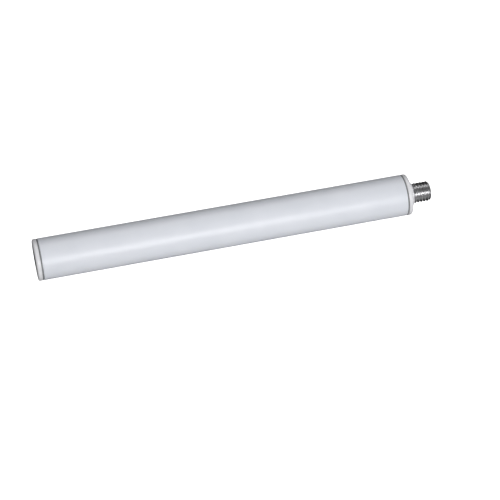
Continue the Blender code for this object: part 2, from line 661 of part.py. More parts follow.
# ---------------------------------------------------------------- driver board and port
def make_driver(paints):
    x_start = SOCKET_END.x(DRIVER_BOARD_SETBACK)
    top = DRIVER_BOARD_TOP_Z
    half = DRIVER_BOARD_WIDTH / 2
    block("driver_board", (x_start, -half, top - BOARD_THICKNESS),
          (x_start + DRIVER_BOARD_LENGTH, half, top), paints["green_board"])
    seat = top + SOLDER_GAP
    parts_x = SOCKET_END.x(COMPONENT_SETBACK)
    block("driver_inductor", (parts_x, -7.0 * MM, seat), (parts_x + 6.5 * MM, -0.5 * MM, seat + 3.2 * MM),
          paints["grey_plastic"], 0.5 * MM)
    chip_x = parts_x + 1.0 * MM
    block("driver_chip", (chip_x, 1.5 * MM, seat), (chip_x + 5.0 * MM, 6.5 * MM, seat + 1.0 * MM),
          paints["black_plastic"], 0.1 * MM)
    can_x = parts_x + CAPACITOR_OFFSET
    bm = bmesh.new()
    bmesh.ops.create_cone(bm, cap_ends=True, segments=24, radius1=CAPACITOR_RADIUS, radius2=CAPACITOR_RADIUS,
                          depth=CAPACITOR_HEIGHT)
    rims = [e for e in bm.edges if len(e.link_faces) == 2 and abs(e.verts[0].co.z - e.verts[1].co.z) < 1e-7]
    bmesh.ops.bevel(bm, geom=rims, offset=0.3 * MM, segments=2, profile=0.5, affect="EDGES")
    bmesh.ops.translate(bm, verts=bm.verts, vec=(can_x, 2.0 * MM, seat + CAPACITOR_HEIGHT / 2))
    finish_mesh(bm, "driver_capacitor", paints["aluminium"])


def make_port(paints):
    """The port's metal shell, closed at the back, and the tongue that stands in it."""
    end = SOCKET_END
    front = PORT_RECESS
    back = PORT_RECESS + PORT_DEPTH
    shell = extruded("usb_port_shell", stadium(PORT_WIDTH, PORT_HEIGHT, PORT_Z), end.x(front), end.x(back),
                     paints["nickel"])
    inside = stadium(PORT_WIDTH - 2 * PORT_WALL, PORT_HEIGHT - 2 * PORT_WALL, PORT_Z)
    tool = extruded("port_hollow", inside, end.x(-BEYOND), end.x(back - PORT_WALL), None)
    boolean(shell, tool, "DIFFERENCE")
    setback, wide, thick = TONGUE_SIZE
    low = (end.x(front + setback), -wide / 2, PORT_Z - thick / 2)
    high = (end.x(back - PORT_WALL - 0.1 * MM), wide / 2, PORT_Z + thick / 2)
    block("usb_port_tongue", low, high, paints["black_plastic"], 0.08 * MM)


# ---------------------------------------------------------------- button
def make_button(paints):
    """Button, spring, tact switch and its plunger, all on one line along X.

    The flange is wider than the hole, so the button can't leave its cap.
    """
    end = SOCKET_END
    center = (0.0, BUTTON_Z)
    crown = 0.35 * MM
    behind_wall = CAP_FACE_WALL + FINE_GAP
    profile = [(-BUTTON_PROUD, 0.0), (-BUTTON_PROUD, BUTTON_RADIUS - crown),
               (-BUTTON_PROUD + 0.1 * MM, BUTTON_RADIUS - 0.5 * crown),
               (-BUTTON_PROUD + crown, BUTTON_RADIUS),
               (behind_wall, BUTTON_RADIUS), (behind_wall + BUTTON_FLANGE[0] / 2, BUTTON_STEM_RADIUS),
               (BUTTON_STEM_END, BUTTON_STEM_RADIUS), (BUTTON_STEM_END, 0.0)]
    profile = [(end.x(inward), radius) for inward, radius in profile]
    button = turned("power_button", profile, paints["grey_plastic"], 32, center, closed=False)
    thick, wide, tall = BUTTON_FLANGE
    xs = (end.x(behind_wall), end.x(behind_wall + thick))
    tool = block("button_flange", (min(xs), -wide / 2, BUTTON_FLANGE_Z - tall / 2),
                 (max(xs), wide / 2, BUTTON_FLANGE_Z + tall / 2), None)
    boolean(button, tool, "UNION")

    wire = 0.14 * MM
    coil_radius = 1.25 * MM
    turns = 5
    steps = 12
    coil_start = behind_wall + thick + 0.1 * MM + wire
    coil_end = SWITCH_SETBACK - 0.1 * MM - wire
    points = []
    for i in range(turns * steps + 1):
        share = i / (turns * steps)
        angle = 2 * math.pi * turns * share
        points.append((end.x(coil_start + share * (coil_end - coil_start)), coil_radius * math.cos(angle),
                       BUTTON_Z + coil_radius * math.sin(angle)))
    wire_curve("button_spring", points, wire, paints["steel"])

    seat = CARRIER_TOP_Z + GAP + LED_BOARD_THICKNESS + SOLDER_GAP
    low = (end.x(SWITCH_SETBACK), -2.2 * MM, seat)
    high = (end.x(SWITCH_SETBACK + 3.4 * MM), 2.2 * MM, 13.3 * MM)
    switch = block("button_switch", low, high, paints["black_plastic"], 0.15 * MM)
    plunger_radius = 0.75 * MM
    plunger_end = SWITCH_SETBACK + 1.4 * MM
    pocket = rod("switch_pocket", end.x(SWITCH_SETBACK - BEYOND), end.x(plunger_end + BUTTON_TRAVEL + GAP),
                 plunger_radius + FINE_GAP, center, facets=SMALL_FACETS)
    boolean(switch, pocket, "DIFFERENCE")
    rod("button_switch_plunger", end.x(BUTTON_STEM_END + 0.1 * MM), end.x(plunger_end), plunger_radius,
        center, paints["nickel"], SMALL_FACETS)


# ---------------------------------------------------------------- wires
def make_wires(paints):
    """Leads from the battery and to the LED strip, all ending on the driver board."""
    board_x = SOCKET_END.x(DRIVER_BOARD_SETBACK + DRIVER_BOARD_LENGTH)
    pad_z = DRIVER_BOARD_TOP_Z + 0.8 * MM
    radius = 0.5 * MM
    x_start, x_end = tray_span()
    tray_x = x_start - TRAY_END_WALL
    black = [(board_x - 2 * MM, 6.5 * MM, pad_z), (board_x, 6.5 * MM, -7.5 * MM),
             (tray_x - 1.2 * MM, 6.0 * MM, -4.5 * MM), (tray_x - 0.8 * MM, 5.0 * MM, -2.0 * MM)]
    wire_curve("battery_lead_negative", smooth_path(black, 5), radius, paints["black_wire"])
    side_y = 11.4 * MM
    far_x = x_end + TRAY_END_WALL
    red = [(board_x - 4 * MM, 7.6 * MM, pad_z), (board_x - 1 * MM, 9.4 * MM, -7.6 * MM),
           (tray_x + 4 * MM, side_y, -5.2 * MM), ((tray_x + far_x) / 2, side_y, -5.2 * MM),
           (far_x - 6 * MM, side_y, -5.2 * MM), (far_x + 1.6 * MM, 8.0 * MM, -3.6 * MM),
           (far_x + 0.9 * MM, 4.0 * MM, -2.0 * MM)]
    wire_curve("battery_lead_positive", smooth_path(red, 5), radius, paints["red_wire"])
    strip_z = CARRIER_TOP_Z + GAP - 0.8 * MM
    gap_x = SOCKET_END.x(CARRIER_SOCKET_SETBACK)
    for name, y, paint in (("led_lead_positive", -7.2 * MM, "red_wire"),
                           ("led_lead_negative", -4.8 * MM, "black_wire")):
        foot_x = board_x - 3.0 * MM
        path = [(foot_x, y, pad_z), (foot_x - 0.5 * MM, y, -4.0 * MM), (gap_x + 5.0 * MM, y, 1.5 * MM),
                (gap_x - 1.1 * MM, y, 5.5 * MM), (gap_x - 1.2 * MM, y, strip_z)]
        wire_curve(name, smooth_path(path, 5), radius, paints[paint])


# ---------------------------------------------------------------- assembly
def main():
    for old in list(bpy.data.objects):
        bpy.data.objects.remove(old)
    paints = make_materials()
    make_tube(paints)
    make_seal("socket_seal_ring", SOCKET_END, paints)
    make_seal("stud_seal_ring", STUD_END, paints)
    make_socket_cap(paints)
    make_stud_cap(paints)
    make_stud(paints)
    make_socket(paints)
    make_screws(paints)
    make_carrier(paints)
    make_led_board(paints)
    make_tray(paints)
    make_battery(paints)
    make_driver(paints)
    make_port(paints)
    make_button(paints)
    make_wires(paints)


main()
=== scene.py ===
"""Looks of the LED light tube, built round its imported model.

Metres, +Z up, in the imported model's frame: the tube's axis is X, its threaded stud points along +X and its
light strip faces +Z. Distances called inward run from an end's outer face towards the tube's middle.
"""
import json
import math

import bmesh
import bpy
from mathutils import Matrix, Vector


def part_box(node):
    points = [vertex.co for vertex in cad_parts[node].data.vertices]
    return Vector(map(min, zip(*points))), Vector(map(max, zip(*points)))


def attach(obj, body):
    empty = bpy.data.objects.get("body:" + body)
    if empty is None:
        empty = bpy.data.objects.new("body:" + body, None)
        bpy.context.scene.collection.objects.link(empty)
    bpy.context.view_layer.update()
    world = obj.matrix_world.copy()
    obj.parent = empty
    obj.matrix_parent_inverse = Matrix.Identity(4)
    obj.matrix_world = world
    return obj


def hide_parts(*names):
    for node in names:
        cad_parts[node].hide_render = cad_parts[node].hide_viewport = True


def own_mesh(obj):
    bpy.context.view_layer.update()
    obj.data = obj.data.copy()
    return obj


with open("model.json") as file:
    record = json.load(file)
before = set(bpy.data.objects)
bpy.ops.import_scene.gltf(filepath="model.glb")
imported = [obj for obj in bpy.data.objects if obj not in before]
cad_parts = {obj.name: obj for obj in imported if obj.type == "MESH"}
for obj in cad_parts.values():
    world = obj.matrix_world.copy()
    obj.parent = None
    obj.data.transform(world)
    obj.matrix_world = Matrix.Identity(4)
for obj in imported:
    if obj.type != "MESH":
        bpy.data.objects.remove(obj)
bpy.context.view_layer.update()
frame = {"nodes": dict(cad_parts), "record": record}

MM = 0.001

# ---------------------------------------------------------------- camera
CAMERA_AZIMUTH = math.radians(-13.718)
CAMERA_ELEVATION = math.radians(47.403)
CAMERA_DISTANCE = 1.38406           # from the middle of the tube
CAMERA_RIGHT = 0.019941             # sideways and upwards place of the camera, off the line to the middle
CAMERA_UP = -0.018351
CAMERA_LENS = 126.566
CAMERA_SENSOR = 36.0

# ---------------------------------------------------------------- sizes
GAP = 0.2 * MM                      # between parts that sit against each other
JOIN_STEP = 0.05 * MM               # keeps the end faces of two joined shapes off each other
FINE_ROUND = 0.12 * MM              # edge break of a moulding
BEYOND = 1.0 * MM                   # by which a cutter passes the faces that it cuts through
CUT_SLACK = 0.3 * MM                # between a notch and the board that lies in it
MERGE_DISTANCE = 1e-7               # vertices closer than this are one
SLIVER_WIDTH = 1e-6                 # faces narrower than this are dissolved after a cut
SHARP_ANGLE = math.radians(32)      # steeper edges aren't shaded smooth
TUBE_WALL = 2.0 * MM
CAP_BAND = 3.4 * MM
CAP_EDGE_ROUND = 1.4 * MM
CAP_FACE_WALL = 3.2 * MM
PILOT_START = 0.9 * MM              # from the face; depth that an ear screw's hole leaves uncut
SHOULDER_HEIGHT = 2.5 * MM
SHOULDER_RADIUS = 10.0 * MM
SPIGOT_RADIUS = 14.2 * MM
SPIGOT_WALL = 1.0 * MM
SPIGOT_LENGTH = 13.0 * MM

THREAD_PITCH = 2.5 * MM
THREAD_DEPTH = 1.3 * MM
THREAD_START = math.radians(2.3)
CREST_PHASE = 0.58                  # middle of the crest, as a share of the pitch
ROOT_HALF = 0.42                    # from the middle of the crest to the root, as a share of the pitch
FLANK = 0.28                        # width of a flank, as a share of the pitch
FLANK_BLUR = 0.14                   # rounding where a flank meets crest or root, as a share of its height
STUD_RADIUS = 8.0 * MM
SOCKET_CREST = 8.15 * MM
SOCKET_RADIUS = 9.0 * MM
SOCKET_RECESS = 0.2 * MM
SOCKET_DEPTH = 17.0 * MM
EAR_REACH = 12.6 * MM
EAR_HALF_WIDTH = 2.8 * MM
EAR_THICKNESS = 2.0 * MM
EAR_SCREW_Y = 11.0 * MM
SCREW_RADIUS = 1.0 * MM
SCREW_HEAD_RADIUS = 1.7 * MM
SCREW_HOLE_RADIUS = 1.2 * MM
COUNTERSUNK_LAND = 0.15 * MM        # straight rim of a countersunk head
PAN_HEAD_HEIGHT = 1.3 * MM


class End:
    """One end of the tube: a distance inward from its outer face, turned into X."""

    def __init__(self, face_x, outward):
        self.face_x = face_x
        self.outward = outward

    def x(self, inward):
        return self.face_x - self.outward * inward


STUD_END = End(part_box("stud_end_cap")[1].x - SHOULDER_HEIGHT, 1)
SOCKET_END = End(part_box("socket_end_cap")[0].x, -1)
TUBE_LOW, TUBE_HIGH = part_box("diffuser_tube")
TUBE_RADIUS = (TUBE_HIGH.z - TUBE_LOW.z) / 2
TUBE_MIDDLE = (TUBE_LOW + TUBE_HIGH) / 2
SEAM_WIDTH = STUD_END.x(CAP_BAND) - TUBE_HIGH.x


def node_axis(node):
    """Middle (y, z) of a node's box: the axis of a round part that lies along X."""
    low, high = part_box(node)
    return (low.y + high.y) / 2, (low.z + high.z) / 2


# ---------------------------------------------------------------- mesh helpers
def finish_mesh(bm, name, paint):
    """Turn a bmesh into an object with outward faces, smooth across shallow edges."""
    bmesh.ops.remove_doubles(bm, verts=bm.verts, dist=MERGE_DISTANCE)
    bmesh.ops.recalc_face_normals(bm, faces=bm.faces)
    mesh = bpy.data.meshes.new(name)
    bm.to_mesh(mesh)
    bm.free()
    mesh.shade_smooth()
    mesh.set_sharp_from_angle(angle=SHARP_ANGLE)
    made = bpy.data.objects.new(name, mesh)
    bpy.context.scene.collection.objects.link(made)
    if paint is not None:
        mesh.materials.append(paint)
    return made


def rounded(corners, closed=False, steps=5):
    """Outline through (x, y, rounding) corners, each turned into an arc of its rounding."""
    count = len(corners)
    points = []
    for i, (x, y, rounding) in enumerate(corners):
        here = Vector((x, y))
        if rounding == 0 or (not closed and i in (0, count - 1)):
            points.append((x, y))
            continue
        before = Vector(corners[i - 1][:2]) - here
        after = Vector(corners[(i + 1) % count][:2]) - here
        half = before.angle(after) / 2
        reach = min(rounding / math.tan(half), 0.48 * before.length, 0.48 * after.length)
        radius = reach * math.tan(half)
        before.normalize()
        after.normalize()
        hub = here + (before + after).normalized() * (radius / math.sin(half))
        first = here + before * reach - hub
        turn = first.angle_signed(here + after * reach - hub)
        for step in range(steps + 1):
            angle = math.atan2(first.y, first.x) - turn * step / steps
            points.append((hub.x + radius * math.cos(angle), hub.y + radius * math.sin(angle)))
    return points


def turned(name, profile, paint, segments=128, center=(0.0, 0.0), closed=False, relief=None):
    """Revolve (x, radius) points round a line along X through center, which is (y, z).

    relief(x, radius, angle) gives the radius at an angle, as a thread or a knurl needs. An open profile
    starts and ends on the axis.
    """
    bm = bmesh.new()
    rings = []
    for x, radius in profile:
        if radius < 1e-7:
            rings.append([bm.verts.new((x, *center))] * segments)
            continue
        ring = []
        for i in range(segments):
            angle = 2 * math.pi * i / segments
            reach = relief(x, radius, angle) if relief else radius
            ring.append(bm.verts.new((x, center[0] - reach * math.sin(angle),
                                      center[1] + reach * math.cos(angle))))
        rings.append(ring)
    pairs = list(zip(rings, rings[1:]))
    if closed:
        pairs.append((rings[-1], rings[0]))
    for near, far in pairs:
        for i in range(segments):
            j = (i + 1) % segments
            corners = list(dict.fromkeys((near[i], near[j], far[j], far[i])))
            bm.faces.new(corners)
    return finish_mesh(bm, name, paint)


def lofted(name, sections, paint):
    """A closed skin through outlines of (y, z) points, given as (x, outline), with flat ends."""
    bm = bmesh.new()
    rings = [[bm.verts.new((x, y, z)) for y, z in outline] for x, outline in sections]
    count = len(rings[0])
    for near, far in zip(rings, rings[1:]):
        for i in range(count):
            j = (i + 1) % count
            bm.faces.new((near[i], near[j], far[j], far[i]))
    bm.faces.new(rings[0])
    bm.faces.new(rings[-1])
    return finish_mesh(bm, name, paint)


def soft_box(name, low, high, paint, rounding=0.1 * MM, steps=3):
    """A box between two corners with rounded edges."""
    bm = bmesh.new()
    bmesh.ops.create_cube(bm, size=1.0)
    low = Vector(low)
    high = Vector(high)
    bmesh.ops.scale(bm, verts=bm.verts, vec=high - low)
    bmesh.ops.translate(bm, verts=bm.verts, vec=(high + low) / 2)
    bmesh.ops.bevel(bm, geom=bm.edges, offset=rounding, segments=steps, profile=0.5, affect="EDGES")
    return finish_mesh(bm, name, paint)


def combine(piece, tool, operation):
    """Combine piece with tool, and remove tool and the slivers that the cut leaves."""
    step = piece.modifiers.new("combine", "BOOLEAN")
    step.operation = operation
    step.solver = "EXACT"
    step.object = tool
    graph = bpy.context.evaluated_depsgraph_get()
    mesh = bpy.data.meshes.new_from_object(piece.evaluated_get(graph))
    bm = bmesh.new()
    bm.from_mesh(mesh)
    bmesh.ops.dissolve_degenerate(bm, edges=bm.edges, dist=SLIVER_WIDTH)
    bm.to_mesh(mesh)
    bm.free()
    piece.modifiers.clear()
    piece.data = mesh
    bpy.data.objects.remove(tool)
    return piece


def even_normals(piece):
    """Flat faces shade flat right up to their rounded edges."""
    step = piece.modifiers.new("even_normals", "WEIGHTED_NORMAL")
    step.keep_sharp = True
    step.weight = 100
    return piece


def stadium(width, height, center_z, steps=14):
    """Outline (y, z) of a slot with round ends, lying along Y."""
    reach = (width - height) / 2
    points = []
    for side, start in ((1, -90), (-1, 90)):
        for step in range(steps + 1):
            angle = math.radians(start + 180 * step / steps)
            points.append((side * reach + height / 2 * math.cos(angle),
                           center_z + height / 2 * math.sin(angle)))
    return points


def soft_wire(name, points, radius, paint, resolution=4):
    """A round wire through the points, with closed ends."""
    curve = bpy.data.curves.new(name, "CURVE")
    curve.dimensions = "3D"
    curve.bevel_depth = radius
    curve.bevel_resolution = resolution
    curve.use_fill_caps = True
    spline = curve.splines.new("POLY")
    spline.points.add(len(points) - 1)
    for knot, point in zip(spline.points, points):
        knot.co = (*point, 1.0)
    curve.materials.append(paint)
    made = bpy.data.objects.new(name, curve)
    bpy.context.scene.collection.objects.link(made)
    return made


def place(piece, node, body="tube"):
    """Let a piece stand for a node: on its body, and in its place."""
    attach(piece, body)
    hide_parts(node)
    return piece


# ---------------------------------------------------------------- materials
class Paint:
    """A Principled material whose patterns are measured in metres of the object's own space."""

    def __init__(self, name, color, roughness, metallic=0.0, **constants):
        self.material = bpy.data.materials.new(name)
        self.material.use_nodes = True
        self.tree = self.material.node_tree
        self.shader = self.tree.nodes["Principled BSDF"]
        self.set("Base Color", (*color, 1.0))
        self.set("Roughness", roughness)
        self.set("Metallic", metallic)
        for socket, value in constants.items():
            self.set(socket.replace("_", " ").title().replace("Ior", "IOR"), value)
        self.coordinates = self.tree.nodes.new("ShaderNodeTexCoord").outputs["Object"]
        self.relief = None

    def set(self, socket, value):
        self.shader.inputs[socket].default_value = value

    def node(self, kind, **inputs):
        made = self.tree.nodes.new(kind)
        for name, value in inputs.items():
            socket = made.inputs[name]
            if hasattr(value, "links"):
                self.tree.links.new(value, socket)
            else:
                socket.default_value = value
        return made

    def stretched(self, factors):
        """The coordinates, each multiplied by its factor."""
        made = self.node("ShaderNodeMapping", Vector=self.coordinates, Scale=factors)
        return made.outputs["Vector"]

    def noise(self, feature, detail=2.0, factors=(1.0, 1.0, 1.0)):
        """Noise from 0 to 1 with marks about one feature wide."""
        made = self.node("ShaderNodeTexNoise", Vector=self.stretched(factors), Scale=1.0 / feature,
                         Detail=detail)
        return made.outputs["Fac"]

    def cells(self, feature):
        """Distance to the nearest of scattered points, from 0 to about 1."""
        made = self.node("ShaderNodeTexVoronoi", Vector=self.coordinates, Scale=1.0 / feature)
        return made.outputs["Distance"]

    def between(self, value, low, high):
        """Move a value that runs from 0.3 to 0.7, as noise does, to run from low to high."""
        made = self.node("ShaderNodeMapRange", Value=value)
        made.inputs["From Min"].default_value = 0.3
        made.inputs["From Max"].default_value = 0.7
        made.inputs["To Min"].default_value = low
        made.inputs["To Max"].default_value = high
        return made.outputs["Result"]

    def tint(self, value, dark, light):
        """Let the colour run from dark to light with a value, over whatever colour there was."""
        ramp = self.node("ShaderNodeValToRGB", Fac=value)
        ramp.color_ramp.elements[0].position = 0.3
        ramp.color_ramp.elements[1].position = 0.7
        ramp.color_ramp.elements[0].color = (*dark, 1.0)
        ramp.color_ramp.elements[1].color = (*light, 1.0)
        self.tree.links.new(ramp.outputs["Color"], self.shader.inputs["Base Color"])

    def blend(self, value, color):
        """Lay a colour over the present one where value is 1."""
        mix = self.tree.nodes.new("ShaderNodeMix")
        mix.data_type = "RGBA"
        self.tree.links.new(value, mix.inputs["Factor"])
        base = self.shader.inputs["Base Color"]
        if base.links:
            self.tree.links.new(base.links[0].from_socket, mix.inputs["A"])
        else:
            mix.inputs["A"].default_value = base.default_value
        mix.inputs["B"].default_value = (*color, 1.0)
        self.tree.links.new(mix.outputs["Result"], base)

    def rough(self, value, low, high):
        self.tree.links.new(self.between(value, low, high), self.shader.inputs["Roughness"])

    def bump(self, value, height):
        """Add a relief of the given height, in metres, to the surface."""
        made = self.node("ShaderNodeBump", Height=value, Distance=height, Strength=1.0)
        if self.relief is not None:
            self.tree.links.new(self.relief, made.inputs["Normal"])
        self.relief = made.outputs["Normal"]
        self.tree.links.new(self.relief, self.shader.inputs["Normal"])


def satin_opal():
    paint = Paint("satin_opal", (0.80, 0.82, 0.87), 0.4, specular_ior_level=0.5)
    paint.tint(paint.noise(22 * MM, 2), (0.765, 0.792, 0.850), (0.800, 0.824, 0.880))
    grain = paint.noise(0.18 * MM, 2)
    paint.rough(grain, 0.34, 0.42)
    paint.bump(grain, 0.010 * MM)
    paint.bump(paint.noise(0.7 * MM, 2, (0.03, 1.0, 1.0)), 0.012 * MM)
    return paint.material


def white_moulding():
    paint = Paint("white_moulding", (0.86, 0.86, 0.88), 0.35)
    paint.tint(paint.noise(9 * MM, 3), (0.82, 0.82, 0.845), (0.855, 0.855, 0.88))
    spark = paint.cells(0.22 * MM)
    paint.rough(paint.noise(0.5 * MM), 0.24, 0.32)
    paint.bump(spark, 0.012 * MM)
    paint.bump(paint.noise(6 * MM), 0.05 * MM)
    return paint.material


def grey_rubber():
    paint = Paint("grey_rubber", (0.30, 0.30, 0.32), 0.65)
    paint.tint(paint.noise(1.5 * MM, 3), (0.24, 0.245, 0.26), (0.32, 0.325, 0.34))
    paint.rough(paint.noise(0.4 * MM), 0.58, 0.72)
    paint.bump(paint.noise(0.12 * MM), 0.01 * MM)
    return paint.material


def turned_metal(name, dark, light, roughness):
    """Metal with the fine rings that a lathe leaves, since the tool moved along X."""
    paint = Paint(name, light, roughness, metallic=1.0, anisotropic=0.95, anisotropic_rotation=0.25)
    around = paint.node("ShaderNodeTangent")
    around.direction_type = "RADIAL"
    around.axis = "X"
    paint.tree.links.new(around.outputs["Tangent"], paint.shader.inputs["Tangent"])
    paint.tint(paint.noise(3 * MM, 3), dark, light)
    rings = paint.noise(0.09 * MM, 2, (1.0, 0.05, 0.05))
    paint.rough(paint.noise(0.8 * MM, 2, (1.0, 0.3, 0.3)), roughness - 0.05, roughness + 0.07)
    paint.bump(rings, 0.006 * MM)
    paint.bump(paint.noise(1.2 * MM, 2), 0.01 * MM)
    return paint.material


def drawn_metal(name, dark, light, roughness):
    """Metal with fine straight lines along X, as an extrusion or drawn strip has."""
    paint = Paint(name, light, roughness, metallic=1.0)
    paint.tint(paint.noise(5 * MM, 3), dark, light)
    paint.rough(paint.noise(0.6 * MM, 2, (0.05, 1.0, 1.0)), roughness - 0.05, roughness + 0.08)
    paint.bump(paint.noise(0.25 * MM, 2, (0.02, 1.0, 1.0)), 0.008 * MM)
    return paint.material


def plated_metal(name, dark, light, roughness):
    """Plated pressing: smooth, with a faint unevenness."""
    paint = Paint(name, light, roughness, metallic=1.0)
    paint.tint(paint.noise(1.5 * MM, 3), dark, light)
    paint.rough(paint.noise(0.5 * MM, 3), roughness - 0.06, roughness + 0.1)
    paint.bump(paint.noise(0.3 * MM, 2), 0.006 * MM)
    return paint.material


def moulded_plastic(name, dark, light, roughness, grain=0.2 * MM):
    paint = Paint(name, light, roughness)
    paint.tint(paint.noise(4 * MM, 3), dark, light)
    paint.rough(paint.noise(0.6 * MM), roughness - 0.05, roughness + 0.08)
    paint.bump(paint.cells(grain), 0.014 * MM)
    return paint.material


def circuit_board(name, mask_dark, mask_light):
    """Solder mask with tracks that show as a lighter pattern of straight lines."""
    paint = Paint(name, mask_light, 0.35)
    paint.tint(paint.noise(3 * MM, 2), mask_dark, mask_light)
    tracks = paint.node("ShaderNodeTexBrick", Vector=paint.coordinates, Scale=1.0)
    tracks.inputs["Brick Width"].default_value = 4.2 * MM
    tracks.inputs["Row Height"].default_value = 1.3 * MM
    tracks.inputs["Mortar Size"].default_value = 0.12 * MM
    tracks.inputs["Mortar Smooth"].default_value = 0.1
    masked_copper = [0.5 * part + 0.12 for part in mask_light]
    paint.blend(tracks.outputs["Fac"], masked_copper)
    paint.rough(paint.noise(0.5 * MM), 0.28, 0.42)
    paint.bump(tracks.outputs["Fac"], 0.03 * MM)
    return paint.material


def shrink_wrap():
    """Plain blue film, slightly wavy along the cell."""
    paint = Paint("cell_wrap", (0.04, 0.20, 0.45), 0.3, coat_weight=0.3, coat_roughness=0.15)
    paint.tint(paint.noise(7 * MM, 3), (0.022, 0.125, 0.31), (0.038, 0.18, 0.42))
    paint.rough(paint.noise(1.5 * MM), 0.26, 0.38)
    paint.bump(paint.noise(2.5 * MM, 3, (0.3, 1.0, 1.0)), 0.06 * MM)
    return paint.material


def insulation(name, dark, light):
    paint = Paint(name, light, 0.42)
    paint.tint(paint.noise(2 * MM, 2), dark, light)
    paint.rough(paint.noise(0.8 * MM), 0.36, 0.5)
    paint.bump(paint.noise(0.35 * MM, 2, (0.3, 1.0, 1.0)), 0.012 * MM)
    return paint.material


def make_materials():
    """One material for each of the record's material slots."""
    return {
        "opal_tube": satin_opal(),
        "white_cap": white_moulding(),
        "grey_seal": grey_rubber(),
        "steel": turned_metal("turned_steel", (0.60, 0.60, 0.61), (0.70, 0.70, 0.71), 0.42),
        # the socket insert's black colour is painted shade: it darkens the threaded hole from every side, as
        # shade deep in the recess would
        "black_steel": turned_metal("black_steel_painted_hole_shade", (0.030, 0.030, 0.033), (0.05, 0.05, 0.054), 0.34),
        "zinc_screw": plated_metal("zinc_plate", (0.52, 0.53, 0.55), (0.66, 0.67, 0.69), 0.28),
        "aluminium": drawn_metal("aluminium", (0.66, 0.67, 0.68), (0.78, 0.79, 0.80), 0.36),
        "led_board": circuit_board("led_board", (0.76, 0.76, 0.71), (0.84, 0.84, 0.80)),
        "grey_plastic": moulded_plastic("grey_plastic", (0.29, 0.30, 0.32), (0.37, 0.38, 0.40), 0.45),
        "battery_cell": shrink_wrap(),
        "nickel": plated_metal("nickel", (0.55, 0.51, 0.45), (0.70, 0.66, 0.59), 0.24),
        "led_body": moulded_plastic("led_body", (0.80, 0.80, 0.78), (0.88, 0.88, 0.86), 0.4),
        "phosphor": moulded_plastic("phosphor", (0.72, 0.56, 0.08), (0.82, 0.66, 0.14), 0.35, 0.08 * MM),
        "insulator": moulded_plastic("insulator", (0.66, 0.66, 0.64), (0.78, 0.78, 0.76), 0.6),
        "gold": plated_metal("gold_flash", (0.60, 0.42, 0.14), (0.75, 0.55, 0.22), 0.22),
        "circuit_board": circuit_board("circuit_board", (0.010, 0.11, 0.045), (0.018, 0.16, 0.07)),
        "black_component": moulded_plastic("black_resin", (0.016, 0.016, 0.018), (0.03, 0.03, 0.032), 0.5),
        "red_wire": insulation("red_insulation", (0.40, 0.012, 0.012), (0.55, 0.025, 0.02)),
        "black_wire": insulation("black_insulation", (0.010, 0.010, 0.011), (0.022, 0.022, 0.023)),
    }


def paint_nodes(paints):
    """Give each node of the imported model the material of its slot."""
    for row in frame["record"]["subparts"]:
        mesh = frame["nodes"][row["node"]].data
        mesh.materials.clear()
        mesh.materials.append(paints[row["material_slot"]])


# ---------------------------------------------------------------- thread
def thread_height(phase):
    """Height of the thread, 0 at its root and 1 at its crest, with rounded corners."""
    off_crest = abs((phase - CREST_PHASE + 0.5) % 1.0 - 0.5)
    raw = (ROOT_HALF - off_crest) / FLANK
    if raw < FLANK_BLUR:
        return max(0.0, raw + FLANK_BLUR) ** 2 / (4 * FLANK_BLUR)
    if raw > 1 - FLANK_BLUR:
        return 1 - max(0.0, 1 + FLANK_BLUR - raw) ** 2 / (4 * FLANK_BLUR)
    return raw


def thread_radius(x, angle, first_x, crest):
    """Radius of a right-handed thread that starts at first_x."""
    turns = (angle - THREAD_START) / (2 * math.pi)
    return crest - THREAD_DEPTH * (1 - thread_height((x - first_x) / THREAD_PITCH - turns))


def even_steps(start, end, step):
    """Values from start to end, about one step apart."""
    count = max(1, round(abs(end - start) / step))
    return [start + (end - start) * i / count for i in range(count + 1)]


# ---------------------------------------------------------------- outer parts
def make_tube(paints):
    wall = [(TUBE_LOW.x, TUBE_RADIUS - TUBE_WALL, FINE_ROUND), (TUBE_LOW.x, TUBE_RADIUS, 1.5 * FINE_ROUND),
            (TUBE_HIGH.x, TUBE_RADIUS, 1.5 * FINE_ROUND), (TUBE_HIGH.x, TUBE_RADIUS - TUBE_WALL, FINE_ROUND)]
    tube = turned("opal_tube", rounded(wall, closed=True, steps=4), paints["opal_tube"], 256, closed=True)
    return place(even_normals(tube), "diffuser_tube")


def make_seals(paints):
    for node in ("socket_seal_ring", "stud_seal_ring"):
        low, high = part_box(node)
        outer = (high.z - low.z) / 2
        inner = SPIGOT_RADIUS + GAP
        crown = (high.x - low.x) * 0.3
        ring = [(low.x, inner, FINE_ROUND), (low.x, outer, crown), (high.x, outer, crown),
                (high.x, inner, FINE_ROUND)]
        seal = turned(f"{node}_soft", rounded(ring, closed=True), paints["grey_seal"], 192, closed=True)
        place(even_normals(seal), node)


def cap_profile(end, bore, shoulder):
    """Closed profile of a cap: shoulder, face, rounded edge, band, spigot and inner face."""
    corners = []
    if shoulder:
        corners += [(-shoulder, bore, FINE_ROUND), (-shoulder, SHOULDER_RADIUS, 0.35 * MM),
                    (0.0, SHOULDER_RADIUS, 0.25 * MM)]
    else:
        corners += [(0.0, bore, FINE_ROUND)]
    corners += [(0.0, TUBE_RADIUS, CAP_EDGE_ROUND), (CAP_BAND, TUBE_RADIUS, 1.5 * FINE_ROUND),
                (CAP_BAND, SPIGOT_RADIUS, FINE_ROUND), (SPIGOT_LENGTH, SPIGOT_RADIUS, 0.4 * MM),
                (SPIGOT_LENGTH, SPIGOT_RADIUS - SPIGOT_WALL, FINE_ROUND),
                (CAP_FACE_WALL, SPIGOT_RADIUS - SPIGOT_WALL, 0.3 * MM), (CAP_FACE_WALL, bore, FINE_ROUND)]
    return [(end.x(inward), radius) for inward, radius in rounded(corners, closed=True, steps=7)]


def cap_screw_nodes(end):
    label = "stud" if end is STUD_END else "socket"
    return [f"{label}_cap_screw_{side}" for side in ("left", "right")]


